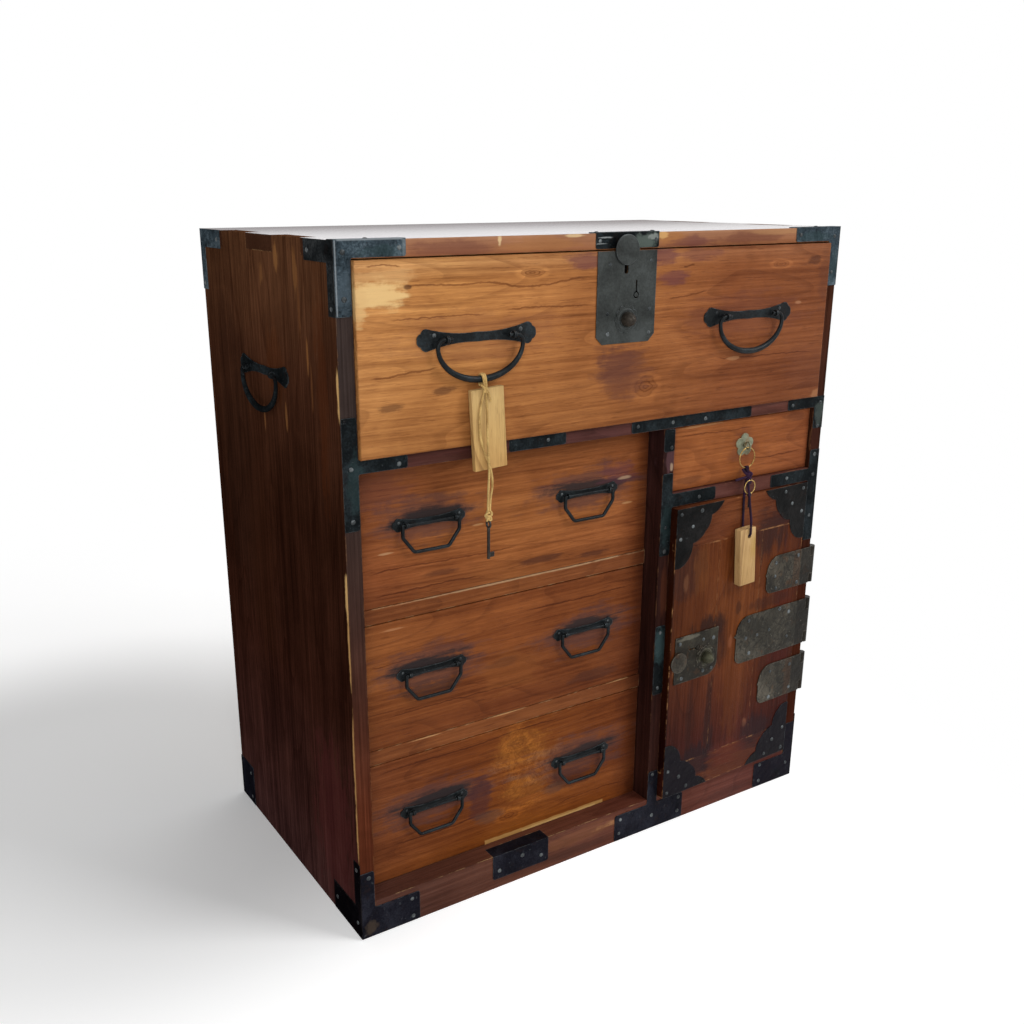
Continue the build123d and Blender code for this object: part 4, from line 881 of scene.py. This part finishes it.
doorWood = {
    "grain": "Z", "run": "Z", "worn": (0.42, 0.2, 0.08), "wear": 0.7, "rough": 0.38, "shine": 0.045,
    "shift": (0, 4, 2),
    "stops": [
        (50, (0.038, 0.008, 0.006)), (130, (0.052, 0.0095, 0.0055)), (210, (0.085, 0.02, 0.007)),
        (300, (0.108, 0.028, 0.007)), (490, (0.1, 0.026, 0.008)),
    ],
    # Nearly black along the left edge: painted shade in the gap by the divider. It is brightest in the middle and
    # darker towards the right edge
    "across": ("X", [
        (99, (0.22, 0.18, 0.18)), (101, (0.28, 0.24, 0.24)), (103, (0.7, 0.68, 0.68)), (125, (0.88, 0.88, 0.88)),
        (200, (1.2, 1.25, 1.2)), (260, (1.2, 1.25, 1.2)), (330, (0.8, 0.7, 0.7)), (360, (0.6, 0.5, 0.5)),
    ]),
    "marks": [
        (124, 381, 4, 12, 0.5, (0.3, 0.12, 0.05)), (220, 271, 4, 10, 0.5, (0.28, 0.1, 0.05)),
        (109, 256, 4, 12, 0.5, (0.3, 0.12, 0.05)), (264, 127, 5, 8, 0.5, (0.26, 0.1, 0.05)),
        (176, 302, 30, 18, 0.85, (0.02, 0.008, 0.006)), (198, 270, 16, 34, 0.7, (0.026, 0.009, 0.006)),
        (184, 130, 9, 90, 0.7, (0.02, 0.007, 0.006)), (232, 322, 5, 9, 0.8, (0.016, 0.006, 0.005)),
        (146, 170, 7, 60, 0.4, (0.03, 0.01, 0.007)), (128, 400, 30, 40, 0.5, (0.022, 0.01, 0.009)),
        (288, 425, 34, 34, 0.7, (0.02, 0.009, 0.009)), (172, 92, 34, 26, 0.75, (0.016, 0.007, 0.009)),
        (284, 108, 34, 26, 0.7, (0.018, 0.008, 0.01)), (320, 216, 40, 30, 0.4, (0.026, 0.009, 0.008)),
        (330, 260, 26, 110, 0.35, (0.07, 0.01, 0.008)), (300, 318, 50, 9, 0.5, (0.03, 0.01, 0.007)),
        (232, 240, 26, 120, 0.3, (0.16, 0.045, 0.01)), (155, 395, 14, 40, 0.35, (0.17, 0.055, 0.014)),
        (215, 450, 50, 14, 0.3, (0.15, 0.045, 0.02)), (225, 90, 40, 20, 0.4, (0.11, 0.022, 0.014)),
    ],
    "bands": [(112, 186, 238, 298, 1, (0.01, 0.006, 0.005))],
}
dress("door_boards", woodMaterial("doorWood", doorWood))
clampWood = {
    **doorWood, "grain": "X", "run": "X", "shift": (4, 0, 2),
    "stops": [(99, (0.1, 0.028, 0.011)), (240, (0.13, 0.036, 0.012)), (360, (0.065, 0.016, 0.009))],
    "marks": [(240, 75, 150, 34, 0.6, (0.05, 0.01, 0.008)), *doorWood["marks"]],
}
dress("door_clamps", woodMaterial("clampWood", clampWood))

plainWood = {
    "grain": "X", "worn": (0.5, 0.36, 0.2), "rough": 0.7, "shine": 0.1, "wear": 0.4,
    "stops": [(-380, (0.27, 0.15, 0.072)), (0, (0.33, 0.19, 0.092)), (380, (0.26, 0.145, 0.07))],
    "tints": [(0.36, (0.55, 0.5, 0.46)), (0.5, (1, 1, 1)), (0.64, (1.35, 1.42, 1.48))],
    "knots": [(-120, 500, 16, 10), (180, 260, 14, 9), (-240, 160, 12, 8), (250, 640, 12, 8)],
    "across": ("Z", [
        (0, (0.76, 0.74, 0.73)), (276, (0.95, 0.95, 0.95)), (278, (1.12, 1.12, 1.12)), (553, (1, 1, 1)),
        (555, (0.86, 0.86, 0.86)), (850, (0.95, 0.95, 0.95)),
    ]),
    "bands": [
        (-400, 400, 276.2, 277.6, 0.85, (0.03, 0.018, 0.01)), (-400, 400, 553.4, 554.8, 0.85, (0.03, 0.018, 0.01)),
    ],
}
dress("back_boards", woodMaterial("backWood", plainWood))
boxWood = {
    **plainWood, "knots": [], "bands": [], "across": ("Z", [(0, (1, 1, 1)), (850, (1, 1, 1))]), "shift": (0, 2, 5),
    "grain": "Y", "clouds": 4, "worn": (0.55, 0.38, 0.2), "shine": 0.06,
    "stops": [(-380, (0.36, 0.205, 0.098)), (0, (0.4, 0.235, 0.115)), (380, (0.34, 0.19, 0.09))],
    "tints": [(0.36, (0.66, 0.6, 0.54)), (0.5, (1, 1, 1)), (0.64, (1.28, 1.32, 1.36))],
}
material = woodMaterial("boxWood", boxWood)
for name in (
    "floor_board", "cupboard_shelf", "wide_drawer_box", "small_drawer_box",
    *(f"left_drawer_{n}_box" for n in (1, 2, 3)),
):
    dress(name, material)

tagWood = {
    "grain": "Z", "run": "Z", "worn": (0.72, 0.52, 0.28), "wear": 0.5, "wearWidth": 0.9, "round": 0.5, "rough": 0.6,
    "shine": 0.15, "pores": 0.25, "ticks": 0.2, "ringShare": 0.5, "streaks": 420,
    "tints": [(0.36, (0.74, 0.68, 0.6)), (0.5, (1, 1, 1)), (0.64, (1.2, 1.25, 1.3))],
}
tagLook = {
    **tagWood, "stops": [(560, (0.42, 0.225, 0.07)), (620, (0.48, 0.29, 0.105)), (680, (0.5, 0.325, 0.13))],
    "marks": [(-203, 484, 26, 8, 0.3, (0.36, 0.2, 0.08)), (-188, 455, 10, 12, 0.35, (0.34, 0.18, 0.07))],
}
fobLook = {
    **tagWood, "shift": (3, 3, 3),
    "stops": [(340, (0.42, 0.25, 0.1)), (400, (0.47, 0.29, 0.12)), (450, (0.52, 0.33, 0.145))],
    "marks": [(238, 418, 7, 20, 0.6, (0.42, 0.25, 0.065))],
}
dress("left_tag", woodMaterial("tagWood", tagLook))
dress("right_fob", woodMaterial("fobWood", fobLook))


print("stage: iron")

ironSkin = {
    "cloud": 26, "speck": 380, "toneShares": (0.65, 0.35), "rust": 60, "ragged": (70, 3), "fleck": 240,
    "wearWidth": 1.1, "scroll": 34, "scrolls": 9, "sides": (0.3795, 0.3805), "frontReach": (-0.05, -0.15),
    "sideDirt": (0.42, 0.34, 0.3), "dents": 75, "speckHeight": 0.22, "round": 0.5,
}


def ironMaterial(name, look):
    material, shader = newMaterial(name)
    coords = objectCoords()
    parts = axes(coords)
    cloud = noise(coords, ironSkin["cloud"], 5, 0.65, 0.4)
    speck = noise(coords, ironSkin["speck"], 4, 0.7)
    tone = weighed((cloud, speck), ironSkin["toneShares"])
    colour = ramp(tone, [(0.36, look["dark"]), (0.5, look["middle"]), (0.63, look["light"])])
    rust = noise(placed(coords, (1, 1, 1), (3, 1, 2)), ironSkin["rust"], 6, 0.75)
    colour = stained(colour, spread(rust, 0.55, 0.66), look["rustShare"], look["rust"])
    scale, size = ironSkin["ragged"]
    ragged = times(minus(noise(coords, scale, 5, 0.7), 0.5), size)
    colour = marked(coords, "XZ", look.get("marks", []), ragged, colour)
    colour = banded(parts, look.get("bands", []), 0, colour)
    if "chased" in look:
        # Shallow scrolls cut into the leaf, their bottoms dark
        scroll = times(noise(coords, ironSkin["scroll"], 1, 0.4, 1.2), ironSkin["scrolls"])
        scroll = maths("FRACT", scroll)
        cut = times(spread(scroll, 0.62, 0.86), spread(scroll, 1, 0.92))
        colour = stained(colour, cut, look["chased"], look["dark"])
    fleck = spread(noise(coords, ironSkin["fleck"], 3, 0.6), 0.66, 0.72)
    colour = stained(colour, fleck, look["flecks"], look["worn"])
    worn = edgeShare(coords, ironSkin["wearWidth"], 90, 0.4, 0.58)
    colour = stained(colour, worn, look["wear"], look["worn"])
    shader.inputs["Metallic"].default_value = look["metal"]
    if "turned" in look:
        # The arms round the sides are dull with dirt, darkest at the front
        outer = spread(maths("ABSOLUTE", parts["X"]), *ironSkin["sides"])
        dirt = tinted(colour, ironSkin["sideDirt"])
        colour = stained(colour, outer, spread(parts["Y"], *ironSkin["frontReach"]), dirt)
        tree.links.new(times(minus(1, outer), look["metal"]), shader.inputs["Metallic"])
    tree.links.new(colour, shader.inputs["Base Color"])
    dents = noise(coords, ironSkin["dents"], 3, 0.5)
    height = plus(dents, times(speck, ironSkin["speckHeight"]))
    bevel = addNode("Bevel", {"Radius": ironSkin["round"] * mm}, samples=4)
    relief = {"Height": height, "Distance": look["dents"] * mm, "Strength": 0.8, "Normal": bevel.outputs[0]}
    tree.links.new(addNode("Bump", relief).outputs[0], shader.inputs["Normal"])
    rough = spread(speck, 0.35, 0.65, look["rough"] - 0.1, look["rough"] + 0.12)
    tree.links.new(rough, shader.inputs["Roughness"])
    shader.inputs["Specular IOR Level"].default_value = look.get("shine", 0.14)
    return material


teal, verdigris = (0.034, 0.06, 0.062), (0.1, 0.125, 0.11)
blackIron = {
    "dark": (0.004, 0.005, 0.006), "middle": (0.009, 0.011, 0.012), "light": (0.022, 0.029, 0.033),
    "rust": (0.026, 0.015, 0.012), "rustShare": 0.3, "worn": (0.15, 0.17, 0.18), "wear": 0.4, "flecks": 0.2,
    "rough": 0.4, "metal": 0.4, "dents": 1.4,
}
caseIron = {**blackIron, "turned": True, "shine": 0}
plateIron = {
    **blackIron, "dark": (0.022, 0.024, 0.023), "middle": (0.038, 0.042, 0.04), "light": (0.058, 0.064, 0.062),
    "dents": 0.7, "rustShare": 0.15, "flecks": 0.1,
}
cornerIron = {
    **caseIron, "dark": (0.008, 0.011, 0.013), "middle": (0.04, 0.057, 0.07), "light": (0.13, 0.172, 0.2),
    "dents": 2, "wear": 0.7,
    "bands": [
        (-378.9, -377.9, 773, 850, 0.75, (0.34, 0.37, 0.39)), (-376, -300, 849.4, 851.6, 0.5, (0.34, 0.37, 0.39)),
        (-300, -296, 832, 850, 0.3, (0.24, 0.27, 0.28)),
    ],
    "marks": [
        # The first mark, a paler bluish patch on the front of the left corner iron, is a painted highlight on its
        # hammered bulges
        (-366, 800, 14, 20, 0.5, (0.075, 0.1, 0.12)), (-320, 838, 30, 6, 0.4, teal), (330, 838, 30, 6, 0.4, teal),
        (372, 800, 8, 20, 0.4, teal),
    ],
}
strapIron = {
    **caseIron,
    "marks": [
        (34, 838, 20, 9, 0.8, verdigris), (46, 844, 8, 3, 0.5, (0.3, 0.32, 0.3)),
        (-30, 845, 10, 0.9, 0.7, (0.32, 0.34, 0.34)), (-34, 838, 8, 0.8, 0.6, (0.28, 0.3, 0.3)),
        (90, 295, 9, 26, 0.75, teal), (372, 595, 8, 18, 0.4, verdigris), (90, 470, 9, 30, 0.3, teal),
        (-365, 590, 10, 30, 0.35, teal),
    ],
}
sideIron = {**blackIron, "metal": 0, "shine": 0, "dents": 0.6}
baseIron = {
    **caseIron, "dark": (0.004, 0.004, 0.006), "middle": (0.009, 0.009, 0.014), "light": (0.021, 0.022, 0.031),
    "marks": [(-366, 14, 9, 9, 0.6, (0.07, 0.05, 0.035)), (300, 60, 120, 60, 0.5, (0.009, 0.006, 0.011))],
}
leafIron = {
    "dark": (0.01, 0.009, 0.007), "middle": (0.036, 0.031, 0.023), "light": (0.105, 0.092, 0.07),
    "rust": (0.075, 0.034, 0.014), "rustShare": 0.7, "worn": (0.22, 0.2, 0.165), "wear": 0.6, "flecks": 0.5,
    "rough": 0.45, "metal": 0.5, "dents": 1.4, "chased": 0.6,
    "bands": [
        # The first band darkens the hinge knuckle beyond x 360.5: painted shade on its unlit side
        (360.5, 400, 140, 400, 0.75, (0.012, 0.01, 0.008)), (344, 359, 320, 400, 0.5, (0.06, 0.027, 0.012)),
        (344, 359, 150, 215, 0.5, (0.055, 0.025, 0.012)),
    ],
    "marks": [
        (310, 366, 18, 16, 0.35, (0.105, 0.09, 0.066)), (290, 270, 46, 34, 0.45, (0.026, 0.024, 0.018)),
        (350, 268, 12, 34, 0.5, (0.018, 0.017, 0.014)), (312, 180, 18, 18, 0.35, (0.07, 0.06, 0.044)),
    ],
}
lockIron = {
    **leafIron, "bands": [], "chased": 0.2, "dark": (0.008, 0.007, 0.005), "middle": (0.018, 0.015, 0.011),
    "light": (0.048, 0.043, 0.03), "rustShare": 0.4, "dents": 0.8,
    # The second mark, a pale greenish patch on the rosette round the knob, is a painted highlight where the light
    # falls on it
    "marks": [(132, 298, 24, 3, 0.7, (0.14, 0.13, 0.1)), (168, 260, 12, 12, 0.6, (0.075, 0.075, 0.045))],
}
discIron = {**lockIron, "middle": (0.055, 0.047, 0.036), "light": (0.1, 0.088, 0.07), "marks": []}
doorIron = {
    **blackIron, "dark": (0.003, 0.003, 0.003), "middle": (0.006, 0.006, 0.006), "light": (0.015, 0.014, 0.014),
    "metal": 0.2, "rust": (0.022, 0.012, 0.009), "shine": 0.035, "wear": 0.25,
    "marks": [(128, 75, 60, 60, 0.6, (0.007, 0.0045, 0.009)), (330, 110, 70, 70, 0.6, (0.007, 0.0045, 0.009))],
}
flowerBrass = {
    "dark": (0.07, 0.066, 0.04), "middle": (0.18, 0.19, 0.13), "light": (0.31, 0.335, 0.24),
    "rust": (0.24, 0.105, 0.03), "rustShare": 0.55, "worn": (0.42, 0.3, 0.13), "wear": 0.7, "flecks": 0.2,
    "rough": 0.48, "metal": 0.5, "dents": 0.5,
}
ringBrass = {
    **flowerBrass, "dark": (0.28, 0.17, 0.05), "middle": (0.46, 0.3, 0.1), "light": (0.66, 0.48, 0.2),
    "rustShare": 0.2, "rough": 0.3, "metal": 0.9,
}
keyIron = {**blackIron, "middle": (0.026, 0.023, 0.02), "light": (0.06, 0.052, 0.042), "dents": 0.3}
finishes = {
    "corner_irons": cornerIron, "edge_straps": strapIron, "base_irons": baseIron, "side_hinge_leaves": leafIron,
    "door_hinge_leaves": leafIron, "door_corner_irons": doorIron, "door_lock_plate": lockIron,
    "door_lock_disc": discIron, "door_lock_button": lockIron, "wide_lock_plate": plateIron,
    "wide_lock_disc": plateIron,
    "wide_lock_button": {
        **plateIron, "dark": (0.016, 0.013, 0.01), "middle": (0.04, 0.033, 0.026), "light": (0.075, 0.064, 0.05),
    },
    "side_handle_plates": sideIron, "wide_handle_plates": blackIron, "flower_plate": flowerBrass,
    "small_drawer_key": flowerBrass, "fob_rings": ringBrass, "fob_key": keyIron, "left_key": keyIron,
}
for name, look in finishes.items():
    dress(name, ironMaterial(name + "Finish", look))
bailMaterial = ironMaterial("bailFinish", {**blackIron, "dents": 0.5})
sideBailMaterial = ironMaterial("sideBailFinish", sideIron)
plateMaterial = ironMaterial("drawerPlateFinish", blackIron)
for name in nodes:
    if "bail" in name:
        dress(name, sideBailMaterial if "side" in name else bailMaterial)
    elif name.startswith("left_drawer") and name.endswith("handle_plates"):
        dress(name, plateMaterial)


print("stage: nails")

nailLook = {"radius": 2.9, "height": 0.42, "cut": 0.4, "spread": 0.12, "start": 0.55, "reach": 0.6, "below": 0.45}
frontWay, leftWay, rightWay, backWay, downWay = (0, 1, 0), (1, 0, 0), (-1, 0, 0), (0, -1, 0), (0, 0, -1)
sideHeights = [
    (-145, 838), (-202, 780), (-140, 22), (-202, 98), (-200, 20), (145, 838), (202, 780), (170, 52), (170, 12),
]
nailGroups = {
    "case_nails": {
        "body": "case", "on": ["corner_irons", "edge_straps", "base_irons", "side_hinge_leaves"],
        "places": [
            (frontWay, [
                (-370, 608), (-370, 548), (-311, 607), (-107, 610), (34, 610), (93, 609), (150, 608), (316, 608),
                (372, 607), (370.5, 573), (370.5, 531), (370.5, 501), (370.5, 438), (93, 575), (89, 465), (89, 431),
                (88, 90), (89, 312), (89, 228), (147, 500), (316, 502), (-369, 87), (-309, 34), (-308, 8),
                (-176, 26), (-139, 37), (-108, 26), (31, 34), (29, 12), (90, 22), (141, 36), (140, 13), (310, 38),
                (310, 10), (368, 25), (-304, 841), (-370, 838), (-370, 790), (304, 841), (370, 838), (370, 790),
                (-36, 841), (50, 841),
            ]),
            (leftWay, sideHeights), (rightWay, sideHeights),
            (backWay, [(x, z) for x in (-368, -320, 320, 368) for z in (838, 22)]),
            (downWay, [(x, -203) for x in (-340, -36, 50, 340)]),
        ],
    },
    "wide_drawer_nails": {
        "body": "wide_drawer", "on": ["wide_lock_plate", "wide_handle_plates"], "scale": 0.86,
        "places": [(frontWay, [
            (-25, 814), (-27, 756), (-26, 732), (38, 817), (38, 759), (39, 730),
            *((x + side, 747) for x in (-210, 210) for side in (-57, 57)),
        ])],
    },
    "door_nails": {
        "body": "door", "on": ["door_lock_plate", "door_hinge_leaves", "door_corner_irons"],
        "places": [(frontWay, [
            (117, 292), (163, 289), (183, 287), (123, 238), (165, 240), (182, 240), (305, 376), (305, 355),
            (308, 336), (354, 336), (353, 379), (342, 291), (301, 271), (275, 269), (251, 269), (260, 243),
            (255, 296), (342, 251), (321, 300), (355, 201), (311, 200), (357, 162), (312, 157),
            *((x + right * a, z + up * b)
              for x, right in ((100.5, 1), (358.5, -1)) for z, up in ((51.5, 1), (490, -1))
              for a, b in ((7, 7), (45, 7), (7, 42), (29, 27))),
        ])],
    },
    **{
        f"left_drawer_{number}_nails": {
            "body": f"left_drawer_{number}", "on": [f"left_drawer_{number}_handle_plates"], "scale": 0.62,
            "places": [(frontWay, [(x + side, z + 3) for x in (-257.75, -22.75) for side in (-41, 41)])],
        }
        for number, z in ((1, 141), (2, 333), (3, 525))
    },
}

bpy.ops.object.select_all(action="DESELECT")
bpy.ops.mesh.primitive_uv_sphere_add(segments=12, ring_count=8, radius=nailLook["radius"] * mm)
nailHead = bpy.context.object
bpy.ops.object.mode_set(mode="EDIT")
bpy.ops.mesh.select_all(action="SELECT")
bpy.ops.mesh.bisect(plane_co=(0, 0, -nailLook["cut"] * mm), plane_no=(0, 0, 1), clear_inner=True, use_fill=True)
bpy.ops.mesh.select_all(action="SELECT")
bpy.ops.transform.resize(value=(1, 1, nailLook["height"]), center_override=(0, 0, 0))
bpy.ops.object.mode_set(mode="OBJECT")
bpy.ops.object.shade_smooth_by_angle(angle=math.radians(50))
trees = {}


def landing(names, start, way):
    # Where a nail comes down on the metal, and which way that face looks
    best = None
    for name in names:
        if name not in trees:
            mesh = nodes[name].data
            corners = [vertex.co.copy() for vertex in mesh.vertices]
            trees[name] = BVHTree.FromPolygons(corners, [list(face.vertices) for face in mesh.polygons])
        point, normal, face, reach = trees[name].ray_cast(start, way, nailLook["reach"])
        if point is not None and (best is None or reach < best[2]):
            best = (point, normal, reach)
    return best


nailMaterial = ironMaterial("nailFinish", {
    **blackIron, "middle": (0.06, 0.066, 0.068), "light": (0.19, 0.21, 0.215), "dents": 0.3, "wear": 0.3,
    "shine": 0.05,
})
for group, look in nailGroups.items():
    made = []
    for way, places in look["places"]:
        way = Vector(way)
        for first, second in places:
            if way.y:
                start = Vector((first * mm, 0, second * mm))
            elif way.x:
                start = Vector((0, first * mm, second * mm))
            else:
                start = Vector((first * mm, second * mm, nailLook["below"]))
            found = landing(look["on"], start - nailLook["start"] * way, way)
            if found is None:
                print("no metal under nail", group, first, second)
                continue
            point, normal, reach = found
            if normal.dot(way) > 0:
                normal = -normal
            piece = nailHead.copy()
            piece.data = nailHead.data.copy()
            size = look.get("scale", 1) * (1 + random.uniform(-1, 1) * nailLook["spread"])
            turn = Vector((0, 0, 1)).rotation_difference(normal).to_matrix().to_4x4()
            spin = Matrix.Rotation(random.uniform(0, math.pi), 4, "Z")
            seat = Matrix.Translation(point)
            piece.data.transform(seat @ turn @ spin @ Matrix.Scale(size, 4))
            bpy.context.scene.collection.objects.link(piece)
            made.append(piece)
    bpy.ops.object.select_all(action="DESELECT")
    for piece in made:
        piece.select_set(True)
    bpy.context.view_layer.objects.active = made[0]
    bpy.ops.object.join()
    joined = made[0]
    joined.name = group
    dress(joined, nailMaterial)
    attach(joined, look["body"])
    print(group, len(made))
bpy.data.objects.remove(nailHead)
